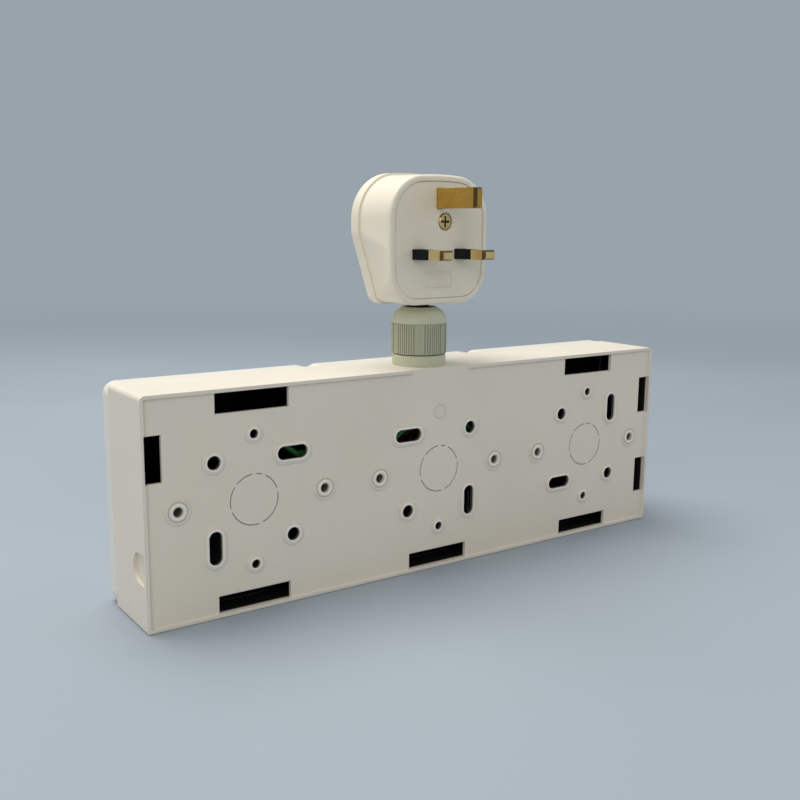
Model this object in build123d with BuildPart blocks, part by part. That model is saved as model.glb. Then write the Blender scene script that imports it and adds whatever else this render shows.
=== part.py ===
from build123d import *
import os
from math import cos, radians, sin, tan

# Three gang socket extension with a fused plug on a short cable.
# Frame: X along the box, +Y towards the socket faces, +Z up, millimetres.
# The origin is on the floor below the middle of the back box's depth.

os.makedirs("parts", exist_ok=True)

# Back box
gangs = (-1, 0, 1)
gang_names = ("left", "middle", "right")
gang_pitch = 86.0
box_height = 86.0
box_depth = 32.0
box_wall = 1.8
panel_thickness = 1.6
rim_width = 1.4
rim_height = 0.8
box_corner_radius = 2.0
box_foot_radius = 0.6
rib_thickness = 1.6
rib_window = 36.0

# Holes, slots and knockouts of the back panel
fixing_spacing = 60.3
fixing_post_diameter = 9.0
fixing_pilot_diameter = 3.7
fixing_pilot_depth = 5.0
ring_height = 0.35
ring_width = 1.8
fixing_ring_diameter = 9.6
fixing_groove_diameter = 7.8
fixing_groove_width = 0.4
wall_hole_diameter = 5.2
wall_hole_offset = 16.1
wall_slot_length = 12.8
small_hole_diameter = 3.4
small_hole_offset = 25.05
knockout_diameter = 20.0
knockout_groove = 0.4
knockout_bridge = 1.6
knockout_bridge_angles = (14, 66, 90, 140, 197, 285)
blind_ring_diameter = 6.5
blind_ring_width = 0.8

# Cable entries along the back edges
entry_length = 30.0
entry_height = 6.7
top_entry_height = 7.8
entry_depth = 12.0
entry_offset = 86.2
end_entry_length = 17.2
end_entry_width = 6.5
end_entry_skin = 1.0
end_entry_offset = 20.1
side_knockout_width = 11.4
side_knockout_reach = 12.4
side_knockout_edge = 1.8
side_knockout_sink = 1.3

# Socket plates
plate_depth = 10.0
plate_wall = 2.4
plate_front = 2.5
plate_gap = 0.2
plate_corner_radius = 5.0
plate_edge_radius = 4.0
plate_boss_diameter = 8.0
screw_head_diameter = 7.0
screw_head_height = 2.0
screw_diameter = 3.4
screw_clearance = 0.3
screw_head_sink = 0.4
screw_reach = 20.0
screw_tip_room = 4.0
insert_diameter = 5.6
insert_length = 8.0

# Fits between small pieces, and the driver slots of the screws
tapping_fit = 0.02
snug_fit = 0.05
easy_fit = 0.1
clear_fit = 0.15
loose_fit = 0.3
driver_slot_width = 0.8
driver_slot_depth = 0.8
wire_end_gap = 0.2
bare_end_short = 1.0

# Pin layout shared by the sockets and the plug
pin_spacing = 22.2
earth_rise = 22.2
flat_pin_width = 6.35
flat_pin_height = 4.0
earth_pin_width = 4.0
earth_pin_height = 8.0
flat_pin_length = 17.7
earth_pin_length = 22.7
aperture_clearance = 0.4
aperture_drop = 12.0

# Shutter behind each plate
shutter_thickness = 2.3
shutter_lap = 3.4
shutter_overlap = 0.6
shutter_travel = 5.6
shutter_arm_width = 3.8
shutter_cam_depth = 8.0
shutter_clearance = 0.15
cam_rest_gap = 0.2
spring_length = 9.8
spring_diameter = 2.5
spring_wire = 0.45
spring_turns = 5
spring_side_room = 0.3
spring_back_room = 0.5

# Rocker switch
rocker_x = -22.0
rocker_rise = 19.0
rocker_width = 9.6
rocker_radius = 9.4
rocker_tilt = 6.0
rocker_gap = 0.3
rocker_pivot_depth = 5.5
trunnion_diameter = 2.6
trunnion_length = 1.5
trunnion_clearance = 0.05
blade_thickness = 0.8
blade_height = 4.0
blade_reach = 7.5
blade_rear = 2.0
blade_side_gap = 0.2
rocker_face_sink = 0.4
pad_inset = 0.3
pad_overlap = 0.5
switch_back_room = 4.0
contact_gap = 0.15

# Socket housing and its metal parts
housing_width = 38.0
housing_height = 58.0
housing_centre_drop = 2.0
housing_depth = 22.7
wing_wall = 2.1
strip_thickness = 0.8
strip_width = 3.0
clip_thickness = 0.6
clip_grip = 0.2
clip_lead = 2.6
flat_clip_depth = 9.0
earth_clip_depth = 9.5
flat_clip_side_room = 1.0
clip_spread_room = 1.5
earth_clip_end_room = 0.8
earth_clip_inset = 0.5
slot_clearance = 0.2
terminal_size = 7.6
terminal_way_pitch = 2.45
terminal_height = 8.0
terminal_pitch = 9.0
terminal_rise = 18.0
terminal_screw_diameter = 3.2
terminal_head_diameter = 5.2
terminal_head_height = 1.6
barrier_thickness = 1.2
barrier_lap = 1.0
barrier_setback = 1.0
ear_spread = 23.0
ear_drop = 22.0
ear_diameter = 6.4
ear_reach = 5.0
ear_thickness = 2.0
tapping_screw_diameter = 2.4
tapping_screw_bite = 4.0
tapping_end_room = 0.2
tapping_head_diameter = 4.8
tapping_head_height = 1.4

# Wires
core_diameter = 2.3
conductor_diameter = 1.6
sheath_diameter = 8.0
sheath_bore = 5.5
core_circle_radius = 1.45
core_bend_radius = 2.5
link_lane_gap = 3.0
live_lane_drop = 11.0
neutral_lane_drop = 7.2
earth_lane_drop = 4.0
earth_link_rise = 8.0
earth_link_dip = 3.0
link_swing = 6.0
earth_turn_across = 8.5
earth_side_across = 7.9
earth_low_across = 5.9
earth_side_high = 14.0
side_core_low = 4.0
neutral_turn_across = 1.8
terminal_run = 2.5
sheath_overrun = 2.0
sheath_end_drop = 0.8
plug_core_run = 3.0
box_core_run = 2.5

# Cable gland
gland_x = -1.0
locknut_clearance = 1.1
gland_collar_diameter = 22.6
gland_collar_height = 4.5
gland_thread_diameter = 19.6
gland_thread_length = 9.0
gland_nut_diameter = 23.2
gland_grip_height = 13.6
gland_dome_height = 6.2
gland_top_diameter = 16.0
gland_mouth_diameter = 12.7
gland_rib_depth = 0.45
gland_rib_count = 7
gland_rib_groups = 6
gland_rib_step = 5.2
gland_rib_turn = 25.5
gland_flat_depth = 0.4
gland_flat_width = 4.0
gland_groove_width = 0.7
gland_joint = 0.5
gland_nut_wall = 2.7
gland_hole_fit = 0.2
gland_collar_radius = 0.5
gland_neck_drop = 1.0
gland_lip_height = 1.5
gland_dome_bulge = 0.85
gland_top_chamfer = 0.6
gland_rib_stop = 0.4
seal_diameter = 12.0
seal_rise = 2.0
seal_sink = 0.6
finger_length = 6.0
finger_gap = 0.9
locknut_across_flats = 23.0
locknut_height = 5.0

# Plug
plug_yaw = 3.5
plug_stand_off = 46.4
plug_axis_depth = 13.0
plug_half_width = 26.0
plug_chin_half_width = 25.3
plug_hip_rise = 2.0
plug_rise = 31.6
plug_drop = 20.4
plug_crown = 2.4
plug_shoulder_radius = 17.0
plug_chin_radius = 14.0
plug_body_depth = 21.6
plug_lip_depth = 7.0
plug_back_half_width = 25.6
plug_back_chin_half_width = 16.0
plug_back_hip_rise = 8.0
plug_back_rise = 32.8
plug_back_drop = 21.0
plug_back_radius = 3.0
hip_radius = 14.0
plug_back_shoulder_radius = 19.0
plug_back_chin_radius = 5.0
plug_wall = 2.6
plug_panel_sink = 0.4
plug_panel_thickness = 3.0
plug_front_radius = 1.3
plug_groove = 0.9
plug_screw_across = 2.8
plug_screw_rise = 13.0
plug_screw_head_diameter = 6.3
plug_screw_recess_diameter = 7.4
sleeve_length = 9.5
sleeve_wall = 0.6
pin_chamfer = 1.6
pin_chamfer_inset = 0.8
pin_block_depth = 12.0
core_way_height = 4.5
sleeve_root = 1.5
earth_block_width = 6.0
boss_joint_depth = 10.0
plug_boss_diameter = 7.0
plug_screw_reach = 18.0
plug_screw_recess = 1.2
plug_screw_head_height = 1.0
plug_screw_end_room = 0.5
plug_head_chamfer = 0.35
cross_recess_length = 4.5
cross_recess_width = 0.9
plug_terminal_screw_diameter = 2.8
plug_terminal_head_diameter = 4.4
grip_bar_width = 23.0
grip_bar_height = 6.0
grip_bar_thickness = 2.5
grip_screw_spacing = 17.0
grip_screw_diameter = 2.6
grip_corner_radius = 1.5
grip_gap = 0.5
grip_head_diameter = 4.7
grip_head_height = 1.4

# Fuse in the plug
fuse_diameter = 6.35
fuse_length = 25.4
fuse_cap_length = 6.3
fuse_cap_wall = 0.35
fuse_across = -13.5
fuse_depth = 13.0
fuse_low_rise = -4.0
fuse_clip_height = 5.0
fuse_clip_arm = 2.0
live_block_width = 6.0
live_block_front = 5.0

# Places that follow from the sizes above
box_length = gang_pitch * len(gangs)
middle_z = box_height / 2
back_y = -box_depth / 2
rim_y = box_depth / 2
panel_y = back_y + rim_height
inside_y = panel_y + panel_thickness
plate_y = rim_y + plate_depth
plate_inside_y = plate_y - plate_front
housing_back_y = plate_inside_y - housing_depth
live_neutral_z = middle_z - aperture_drop
earth_z = live_neutral_z + earth_rise
rocker_z = middle_z + rocker_rise
rocker_y = plate_y - rocker_pivot_depth
terminal_z = middle_z + terminal_rise
terminal_y = housing_back_y - terminal_size / 2
gland_y = inside_y + locknut_across_flats / 2 + locknut_clearance
plug_pin_level = box_height + plug_stand_off
link_lane_y = inside_y + link_lane_gap
live_lane_z = terminal_z - live_lane_drop
neutral_lane_z = terminal_z - neutral_lane_drop
earth_lane_z = terminal_z - earth_lane_drop


def upright(y):
    """A sketch plane facing the back, whose axes are the model's X and Z."""
    return Plane(origin=(0, y, 0), x_dir=(1, 0, 0), z_dir=(0, -1, 0))


def level(z):
    """A level sketch plane, whose axes are the model's X and Y."""
    return Plane.XY.offset(z)


def save(part, name):
    """Name a finished piece and write it."""
    part.label = name
    export_step(part, f"parts/{name}.step")


# Where each kind of hole sits in its gang, as signs of the X and Z offsets
wall_holes = {-1: ((-1, 1), (1, -1)), 0: ((1, 1), (-1, -1)), 1: ((-1, 1), (1, -1))}
level_slots = {-1: (1, 1), 0: (-1, 1), 1: (-1, -1)}
upright_slots = {-1: (-1, -1), 0: (1, -1), 1: (1, 1)}


def gang_points(table):
    """Spots of one kind of hole over all gangs, from their signs."""
    spots = []
    for gang in gangs:
        signs = table[gang] if isinstance(table[gang][0], tuple) else (table[gang],)
        for sx, sz in signs:
            spots.append((gang * gang_pitch + sx * wall_hole_offset, middle_z + sz * wall_hole_offset))
    return spots


fixing_spots = [(g * gang_pitch + s * fixing_spacing / 2, middle_z) for g in gangs for s in (-1, 1)]
small_spots = [(g * gang_pitch, middle_z - small_hole_offset) for g in gangs]
small_spots += [(g * gang_pitch, middle_z + small_hole_offset) for g in (-1, 1)]
blind_spot = (0, middle_z + small_hole_offset)
knockout_spots = [(g * gang_pitch, middle_z) for g in gangs]
hole_ring_diameter = wall_hole_diameter + 2 * ring_width
slot_ring_length = wall_slot_length + 2 * ring_width

# Back box: open towards the plates, its panel set inside a low rim
with BuildPart() as back_box:
    with BuildSketch(upright(back_y)):
        with Locations((0, middle_z)):
            Rectangle(box_length, box_height)
    extrude(amount=-box_depth)
    depth_edges = back_box.edges().filter_by(Axis.Y).group_by(Axis.Z)
    fillet(depth_edges[-1], radius=box_corner_radius)
    fillet(back_box.edges().filter_by(Axis.Y).group_by(Axis.Z)[0], radius=box_foot_radius)

    # Inside, and the shallow recess behind the rim
    with BuildSketch(upright(inside_y)):
        with Locations((0, middle_z)):
            Rectangle(box_length - 2 * box_wall, box_height - 2 * box_wall)
    extrude(amount=-box_depth, mode=Mode.SUBTRACT)
    with BuildSketch(upright(back_y)):
        with Locations((0, middle_z)):
            Rectangle(box_length - 2 * rim_width, box_height - 2 * rim_width)
        with Locations((0, box_height - rim_width / 2)):
            Rectangle(entry_length, rim_width)
    extrude(amount=-rim_height, mode=Mode.SUBTRACT)

    # Fixing posts and the ribs between the gangs
    with BuildSketch(upright(inside_y)):
        with Locations(*fixing_spots):
            Circle(fixing_post_diameter / 2)
        rib_height = (box_height - rib_window) / 2
        for side in (-1, 1):
            with Locations((side * gang_pitch / 2, rib_height / 2)):
                Rectangle(rib_thickness, rib_height)
            with Locations((side * gang_pitch / 2, box_height - rib_height / 2)):
                Rectangle(rib_thickness, rib_height)
    extrude(amount=-(rim_y - inside_y))

    # Raised rings round the holes
    with BuildSketch(upright(panel_y)):
        with Locations(*gang_points(wall_holes)):
            Circle(hole_ring_diameter / 2)
        with Locations(*gang_points(level_slots)):
            SlotOverall(slot_ring_length, hole_ring_diameter)
        with Locations(*gang_points(upright_slots)):
            SlotOverall(slot_ring_length, hole_ring_diameter, rotation=90)
        with Locations(*small_spots):
            Circle(small_hole_diameter / 2 + ring_width)
        with Locations(*fixing_spots):
            Circle(fixing_ring_diameter / 2)
        with Locations(blind_spot):
            Circle(blind_ring_diameter / 2)
            Circle(blind_ring_diameter / 2 - blind_ring_width, mode=Mode.SUBTRACT)
    extrude(amount=ring_height)
    with BuildSketch(upright(panel_y - ring_height)):
        with Locations(*fixing_spots):
            Circle(fixing_groove_diameter / 2)
            Circle(fixing_groove_diameter / 2 - fixing_groove_width, mode=Mode.SUBTRACT)
    extrude(amount=-ring_height, mode=Mode.SUBTRACT)

    # Holes and slots through the panel
    with BuildSketch(upright(back_y)):
        with Locations(*gang_points(wall_holes)):
            Circle(wall_hole_diameter / 2)
        with Locations(*gang_points(level_slots)):
            SlotOverall(wall_slot_length, wall_hole_diameter)
        with Locations(*gang_points(upright_slots)):
            SlotOverall(wall_slot_length, wall_hole_diameter, rotation=90)
        with Locations(*small_spots):
            Circle(small_hole_diameter / 2)
    extrude(amount=-(rim_height + panel_thickness), mode=Mode.SUBTRACT)

    # Blind pilots from the back, and the insert holes from the front
    with BuildSketch(upright(back_y)):
        with Locations(*fixing_spots):
            Circle(fixing_pilot_diameter / 2)
    extrude(amount=-(rim_height + fixing_pilot_depth), mode=Mode.SUBTRACT)
    with BuildSketch(upright(rim_y)):
        with Locations(*fixing_spots):
            Circle(insert_diameter / 2)
    extrude(amount=insert_length, mode=Mode.SUBTRACT)
    with BuildSketch(upright(rim_y - insert_length)):
        with Locations(*fixing_spots):
            Circle(screw_diameter / 2 + screw_clearance)
    extrude(amount=screw_reach - plate_depth - insert_length + screw_tip_room, mode=Mode.SUBTRACT)

    # Round knockouts: a thin groove broken by small bridges
    with BuildSketch(upright(panel_y)):
        for spot in knockout_spots:
            with Locations(spot):
                Circle(knockout_diameter / 2)
                Circle(knockout_diameter / 2 - knockout_groove, mode=Mode.SUBTRACT)
            for angle in knockout_bridge_angles:
                with Locations(spot):
                    with PolarLocations(knockout_diameter / 2, 1, start_angle=angle):
                        Rectangle(3 * knockout_groove, knockout_bridge, mode=Mode.SUBTRACT)
    extrude(amount=-knockout_groove, mode=Mode.SUBTRACT)

    # Cable entries along the top, the bottom and the ends
    with BuildSketch(upright(back_y)):
        top_entry_z = box_height - rim_width - top_entry_height / 2
        with Locations((-entry_offset, top_entry_z), (entry_offset, top_entry_z)):
            Rectangle(entry_length, top_entry_height)
        low_entry_z = rim_width + entry_height / 2
        with Locations((-entry_offset, low_entry_z), (0, low_entry_z), (entry_offset, low_entry_z)):
            Rectangle(entry_length, entry_height)
        end_x = box_length / 2 - end_entry_skin - end_entry_width / 2
        with Locations(
            (-end_x, middle_z + end_entry_offset),
            (end_x, middle_z + end_entry_offset),
            (end_x, middle_z - end_entry_offset),
        ):
            Rectangle(end_entry_width, end_entry_length)
    extrude(amount=-entry_depth, mode=Mode.SUBTRACT)

    # The closed side entry: a shallow half round in the end wall
    with BuildSketch(Plane(origin=(-box_length / 2, 0, 0), x_dir=(0, 1, 0), z_dir=(1, 0, 0))):
        half = side_knockout_width / 2
        with Locations((back_y + side_knockout_reach - half, middle_z - end_entry_offset)):
            Circle(half)
        flat_length = side_knockout_reach - half - side_knockout_edge
        with Locations((back_y + side_knockout_edge + flat_length / 2, middle_z - end_entry_offset)):
            Rectangle(flat_length, side_knockout_width)
    extrude(amount=side_knockout_sink, mode=Mode.SUBTRACT)

    # Hole for the gland
    with BuildSketch(level(box_height)):
        with Locations((gland_x, gland_y)):
            Circle(gland_thread_diameter / 2 + gland_hole_fit)
    extrude(amount=-box_wall, mode=Mode.SUBTRACT)
save(back_box.part, "back_box")

# Brass inserts in the posts
with BuildPart() as fixing_inserts:
    with BuildSketch(upright(rim_y)):
        with Locations(*fixing_spots):
            Circle(insert_diameter / 2)
            Circle(screw_diameter / 2 + snug_fit, mode=Mode.SUBTRACT)
    extrude(amount=insert_length)
save(fixing_inserts.part, "fixing_inserts")

# Plate screws: countersunk under a low raised head, with a driver slot
with BuildPart() as plate_screws:
    with BuildSketch(upright(plate_y - screw_head_height)):
        with Locations(*fixing_spots):
            Circle(screw_head_diameter / 2)
    extrude(amount=-(screw_head_height - screw_head_sink))
    with BuildSketch(upright(plate_y - screw_head_height)):
        with Locations(*fixing_spots):
            Circle(screw_diameter / 2)
    extrude(amount=screw_reach)
    with BuildSketch(upright(plate_y)):
        with Locations(*fixing_spots):
            Rectangle(screw_head_diameter, driver_slot_width)
    extrude(amount=screw_head_sink + driver_slot_depth, mode=Mode.SUBTRACT)
save(plate_screws.part, "plate_screws")

# Places inside a socket that follow from its sizes
ear_y = plate_inside_y - ear_reach
rocker_window_half = rocker_radius - rocker_gap + snug_fit
rocker_pocket_half = rocker_radius + rocker_gap
wing_width = rocker_width + 2 * rocker_gap + 2 * wing_wall
wing_height = 2 * rocker_pocket_half + 2 * wing_wall
housing_middle_z = middle_z - housing_centre_drop
aperture_half_height = flat_pin_height / 2 + aperture_clearance
shutter_top_z = live_neutral_z + aperture_half_height + shutter_overlap
shutter_bottom_z = live_neutral_z - aperture_half_height - shutter_lap
shutter_half_width = pin_spacing / 2 + shutter_lap
shutter_face_y = plate_inside_y - shutter_clearance
shutter_recess = shutter_thickness + 2 * shutter_clearance
cam_low_z = earth_z - earth_pin_height / 2 - aperture_clearance - cam_rest_gap
cam_high_z = cam_low_z + shutter_travel - cam_rest_gap
spring_foot_z = shutter_bottom_z - spring_length
spring_y = shutter_face_y - spring_diameter / 2 - easy_fit
earth_pocket_top_z = earth_z + earth_pin_height / 2 + earth_clip_end_room
flat_clip_y = plate_inside_y - shutter_thickness - clip_lead
earth_clip_y = plate_inside_y - shutter_cam_depth - clip_thickness
blade_low_z = rocker_z - blade_reach
pad_offset = rocker_width / 2 - strip_width / 2 - pad_inset
pad_z = blade_low_z + pad_overlap
blade_swing = blade_rear * cos(radians(rocker_tilt)) + blade_reach * sin(radians(rocker_tilt))
contact_pad_y = rocker_y - blade_swing - contact_gap


def ear_spots(x):
    """Where the housing's three fixing ears sit."""
    return (
        (x - ear_spread, middle_z - ear_drop),
        (x + ear_spread, middle_z - ear_drop),
        (x + ear_spread, middle_z + ear_drop),
    )


def flat_pin_spots(x):
    """The live and the neutral pin of a socket."""
    return ((x - pin_spacing / 2, live_neutral_z), (x + pin_spacing / 2, live_neutral_z))


def make_faceplate(x):
    """Socket plate: a shell with rounded edges, its apertures, rocker window and screw bosses."""
    screw_spots = ((x - fixing_spacing / 2, middle_z), (x + fixing_spacing / 2, middle_z))
    with BuildPart() as plate:
        with BuildSketch(upright(rim_y)):
            with Locations((x, middle_z)):
                RectangleRounded(gang_pitch - plate_gap, box_height, plate_corner_radius)
        extrude(amount=-plate_depth)
        fillet(plate.faces().sort_by(Axis.Y)[-1].edges(), radius=plate_edge_radius)
        with BuildSketch(upright(rim_y)):
            with Locations((x, middle_z)):
                RectangleRounded(
                    gang_pitch - plate_gap - 2 * plate_wall,
                    box_height - 2 * plate_wall,
                    plate_corner_radius - plate_wall,
                )
        extrude(amount=-(plate_depth - plate_front), mode=Mode.SUBTRACT)

        # Bosses for the plate screws and for the housing's tapping screws
        with BuildSketch(upright(plate_inside_y)):
            with Locations(*screw_spots):
                Circle(plate_boss_diameter / 2)
        extrude(amount=plate_inside_y - rim_y)
        with BuildSketch(upright(plate_inside_y)):
            with Locations(*ear_spots(x)):
                Circle(ear_diameter / 2)
        extrude(amount=ear_reach)
        with BuildSketch(upright(ear_y)):
            with Locations(*ear_spots(x)):
                Circle(tapping_screw_diameter / 2 + tapping_fit)
        extrude(amount=-(tapping_screw_bite + tapping_end_room), mode=Mode.SUBTRACT)

        # Screw holes with their head recesses
        with BuildSketch(upright(plate_y)):
            with Locations(*screw_spots):
                Circle(screw_diameter / 2 + screw_clearance)
        extrude(amount=plate_depth, mode=Mode.SUBTRACT)
        with BuildSketch(upright(plate_y)):
            with Locations(*screw_spots):
                Circle(screw_head_diameter / 2 + screw_clearance)
        extrude(amount=screw_head_height, mode=Mode.SUBTRACT)

        # Pin apertures and the window of the rocker
        with BuildSketch(upright(plate_y)):
            with Locations(*flat_pin_spots(x)):
                Rectangle(flat_pin_width + 2 * aperture_clearance, 2 * aperture_half_height)
            with Locations((x, earth_z)):
                Rectangle(
                    earth_pin_width + 2 * aperture_clearance,
                    earth_pin_height + 2 * aperture_clearance,
                )
            with Locations((x + rocker_x, rocker_z)):
                Rectangle(rocker_width + 2 * rocker_gap, 2 * rocker_window_half)
        extrude(amount=plate_front, mode=Mode.SUBTRACT)
    return plate.part


def make_housing(x):
    """Socket housing: a block with pockets for the shutter, the contacts and the switch."""
    with BuildPart() as housing:
        # Main block, the wing that carries the switch, and the fixing ears
        with BuildSketch(upright(housing_back_y)):
            with Locations((x, housing_middle_z)):
                Rectangle(housing_width, housing_height)
            with Locations((x + rocker_x, rocker_z)):
                Rectangle(wing_width, wing_height)
        extrude(amount=-housing_depth)
        with BuildSketch(upright(ear_y)):
            for ear_x, ear_z in ear_spots(x):
                inward = -1 if ear_x > x else 1
                with Locations((ear_x, ear_z)):
                    Circle(ear_diameter / 2)
                with Locations((ear_x + inward * ear_diameter / 2, ear_z)):
                    Rectangle(ear_diameter, ear_diameter)
        extrude(amount=ear_thickness)
        with BuildSketch(upright(ear_y)):
            with Locations(*ear_spots(x)):
                Circle(tapping_screw_diameter / 2 + clear_fit)
        extrude(amount=ear_thickness, mode=Mode.SUBTRACT)

        # Recess that the shutter slides in, its spring pocket and its cam slot
        recess_low_z = shutter_bottom_z - shutter_travel - 2 * shutter_clearance
        recess_high_z = shutter_top_z + 2 * shutter_clearance
        with BuildSketch(upright(plate_inside_y)):
            with Locations((x, (recess_low_z + recess_high_z) / 2)):
                Rectangle(2 * (shutter_half_width + shutter_clearance), recess_high_z - recess_low_z)
        extrude(amount=shutter_recess, mode=Mode.SUBTRACT)
        with BuildSketch(upright(plate_inside_y)):
            with Locations((x, (spring_foot_z + shutter_bottom_z) / 2)):
                Rectangle(spring_diameter + 2 * spring_side_room, shutter_bottom_z - spring_foot_z)
        extrude(amount=spring_diameter + spring_back_room, mode=Mode.SUBTRACT)
        with BuildSketch(upright(plate_inside_y)):
            with Locations((x, (shutter_bottom_z + earth_pocket_top_z) / 2)):
                arm_way_width = shutter_arm_width + 2 * shutter_clearance
                Rectangle(arm_way_width, earth_pocket_top_z - shutter_bottom_z)
        extrude(amount=shutter_cam_depth + 2 * shutter_clearance, mode=Mode.SUBTRACT)

        # Contact pockets, with a slot to the back for each tail
        with BuildSketch(upright(plate_inside_y)):
            with Locations(*flat_pin_spots(x)):
                pocket_height = flat_pin_height + 2 * clip_spread_room
                Rectangle(flat_pin_width + 2 * flat_clip_side_room, pocket_height)
        extrude(amount=plate_inside_y - flat_clip_y + flat_clip_depth, mode=Mode.SUBTRACT)
        with BuildSketch(upright(plate_inside_y)):
            with Locations((x, earth_z)):
                pocket_height = earth_pin_height + 2 * earth_clip_end_room
                Rectangle(earth_pin_width + 2 * clip_spread_room, pocket_height)
        extrude(amount=plate_inside_y - earth_clip_y + earth_clip_depth, mode=Mode.SUBTRACT)
        with BuildSketch(upright(housing_back_y)):
            with Locations(*flat_pin_spots(x), (x, earth_z)):
                Rectangle(strip_width + 2 * slot_clearance, strip_thickness + 2 * slot_clearance)
        extrude(amount=-housing_depth / 2, mode=Mode.SUBTRACT)

        # Switch pocket, the bearings of the rocker and the slots of its two contacts
        with BuildSketch(upright(plate_inside_y)):
            with Locations((x + rocker_x, rocker_z)):
                Rectangle(rocker_width + 2 * rocker_gap, 2 * rocker_pocket_half)
        extrude(amount=plate_inside_y - contact_pad_y + switch_back_room, mode=Mode.SUBTRACT)
        with BuildSketch(Plane.YZ.offset(x + rocker_x)):
            with Locations((rocker_y, rocker_z)):
                Circle(trunnion_diameter / 2 + trunnion_clearance)
        extrude(amount=rocker_width / 2 + trunnion_length + easy_fit, both=True, mode=Mode.SUBTRACT)
        with BuildSketch(upright(housing_back_y)):
            with Locations((x + rocker_x - pad_offset, pad_z), (x + rocker_x + pad_offset, pad_z)):
                Rectangle(strip_width + 2 * slot_clearance, strip_thickness + 2 * slot_clearance)
        extrude(amount=-housing_depth, mode=Mode.SUBTRACT)

        # Barriers between the terminals
        with BuildSketch(upright(housing_back_y)):
            for step in (-0.5, 0.5, 1.5):
                with Locations((x + step * terminal_pitch, terminal_z)):
                    Rectangle(barrier_thickness, terminal_height + 2 * barrier_lap)
        extrude(amount=terminal_size - barrier_setback)
    return housing.part


def make_rocker(x):
    """Rocker: two flat facets over round ends, turned on two trunnions, at rest in its off position."""
    crown_y = rocker_y + rocker_pivot_depth - rocker_face_sink
    lean = rocker_radius * tan(radians(rocker_tilt))
    rear_y = rocker_y - blade_rear + blade_thickness
    with BuildPart() as rocker:
        with BuildSketch(Plane.YZ.offset(x + rocker_x)):
            with Locations((rocker_y, rocker_z)):
                Circle(rocker_radius)
            with BuildLine():
                Polyline(
                    (crown_y, rocker_z),
                    (crown_y + lean, rocker_z + rocker_radius),
                    (rear_y, rocker_z + rocker_radius),
                    (rear_y, rocker_z - rocker_radius),
                    (crown_y + lean, rocker_z - rocker_radius),
                    close=True,
                )
            make_face(mode=Mode.INTERSECT)
        extrude(amount=rocker_width / 2, both=True)
        with BuildSketch(Plane.YZ.offset(x + rocker_x)):
            with Locations((rocker_y, rocker_z)):
                Circle(trunnion_diameter / 2)
        extrude(amount=rocker_width / 2 + trunnion_length, both=True)
    return rocker.part.rotate(rocker_axis(x), rocker_tilt)


def make_blade(x):
    """Bridging contact that the rocker carries across the two fixed contacts."""
    with BuildPart() as blade:
        with BuildSketch(upright(rocker_y - blade_rear)):
            with Locations((x + rocker_x, blade_low_z + blade_height / 2)):
                Rectangle(rocker_width - 2 * blade_side_gap, blade_height)
        extrude(amount=-blade_thickness)
    return blade.part.rotate(rocker_axis(x), rocker_tilt)


def rocker_axis(x):
    """The line that a rocker turns about."""
    return Axis((x + rocker_x, rocker_y, rocker_z), (1, 0, 0))


def make_shutter(x):
    """Shutter: a plate over the live and neutral ways, with an arm and a cam in the earth way."""
    with BuildPart() as shutter:
        with BuildSketch(upright(shutter_face_y)):
            with Locations((x, (shutter_top_z + shutter_bottom_z) / 2)):
                Rectangle(2 * shutter_half_width, shutter_top_z - shutter_bottom_z)
        extrude(amount=shutter_thickness)
        with BuildSketch(Plane.YZ.offset(x)):
            with BuildLine():
                Polyline(
                    (shutter_face_y, shutter_bottom_z),
                    (shutter_face_y, cam_low_z),
                    (shutter_face_y - shutter_cam_depth, cam_high_z),
                    (shutter_face_y - shutter_cam_depth, cam_low_z),
                    (shutter_face_y - shutter_thickness, cam_low_z - shutter_cam_depth / 2),
                    (shutter_face_y - shutter_thickness, shutter_bottom_z),
                    close=True,
                )
            make_face()
        extrude(amount=shutter_arm_width / 2, both=True)
    return shutter.part


def make_spring(x):
    """Return spring under the shutter."""
    pitch = (spring_length - spring_wire) / spring_turns
    coil_radius = (spring_diameter - spring_wire) / 2
    foot = (x, spring_y, spring_foot_z + spring_wire / 2)
    with BuildPart() as spring:
        with BuildLine() as path:
            Helix(pitch=pitch, height=pitch * spring_turns, radius=coil_radius, center=foot)
        with BuildSketch(Plane(origin=path.line @ 0, z_dir=path.line % 0)):
            Rectangle(spring_wire, spring_wire)
        sweep(is_frenet=True)
    return spring.part


def make_pin_clip(centre_x, centre_z, grip_height, front_y, depth, width, turned=False):
    """A U of strip that grips a pin, open to the front; turned, it grips the pin's sides."""
    outer = grip_height - 2 * clip_grip + 2 * clip_thickness
    plane = Plane.XY.offset(centre_z) if turned else Plane.YZ.offset(centre_x)
    with BuildPart() as clip:
        with BuildSketch(plane):
            middle_y = front_y - depth / 2
            lead = clip_thickness + easy_fit
            mouth = grip_height / 2 + clip_grip
            if turned:
                with Locations((centre_x, middle_y)):
                    Rectangle(outer, depth)
                with Locations((centre_x, middle_y + clip_thickness / 2)):
                    Rectangle(outer - 2 * clip_thickness, depth - clip_thickness, mode=Mode.SUBTRACT)
                with Locations((centre_x, front_y)):
                    Rectangle(2 * mouth, lead, mode=Mode.SUBTRACT)
            else:
                with Locations((middle_y, centre_z)):
                    Rectangle(depth, outer)
                with Locations((middle_y + clip_thickness / 2, centre_z)):
                    Rectangle(depth - clip_thickness, outer - 2 * clip_thickness, mode=Mode.SUBTRACT)
                with Locations((front_y, centre_z)):
                    Rectangle(lead, 2 * mouth, mode=Mode.SUBTRACT)
        extrude(amount=width / 2, both=True)
    return clip.part


def make_flat_clip(pin_x):
    """Clip above and below a flat pin."""
    size = (flat_pin_height, flat_clip_y, flat_clip_depth, flat_pin_width)
    return make_pin_clip(pin_x, live_neutral_z, *size)


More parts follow.
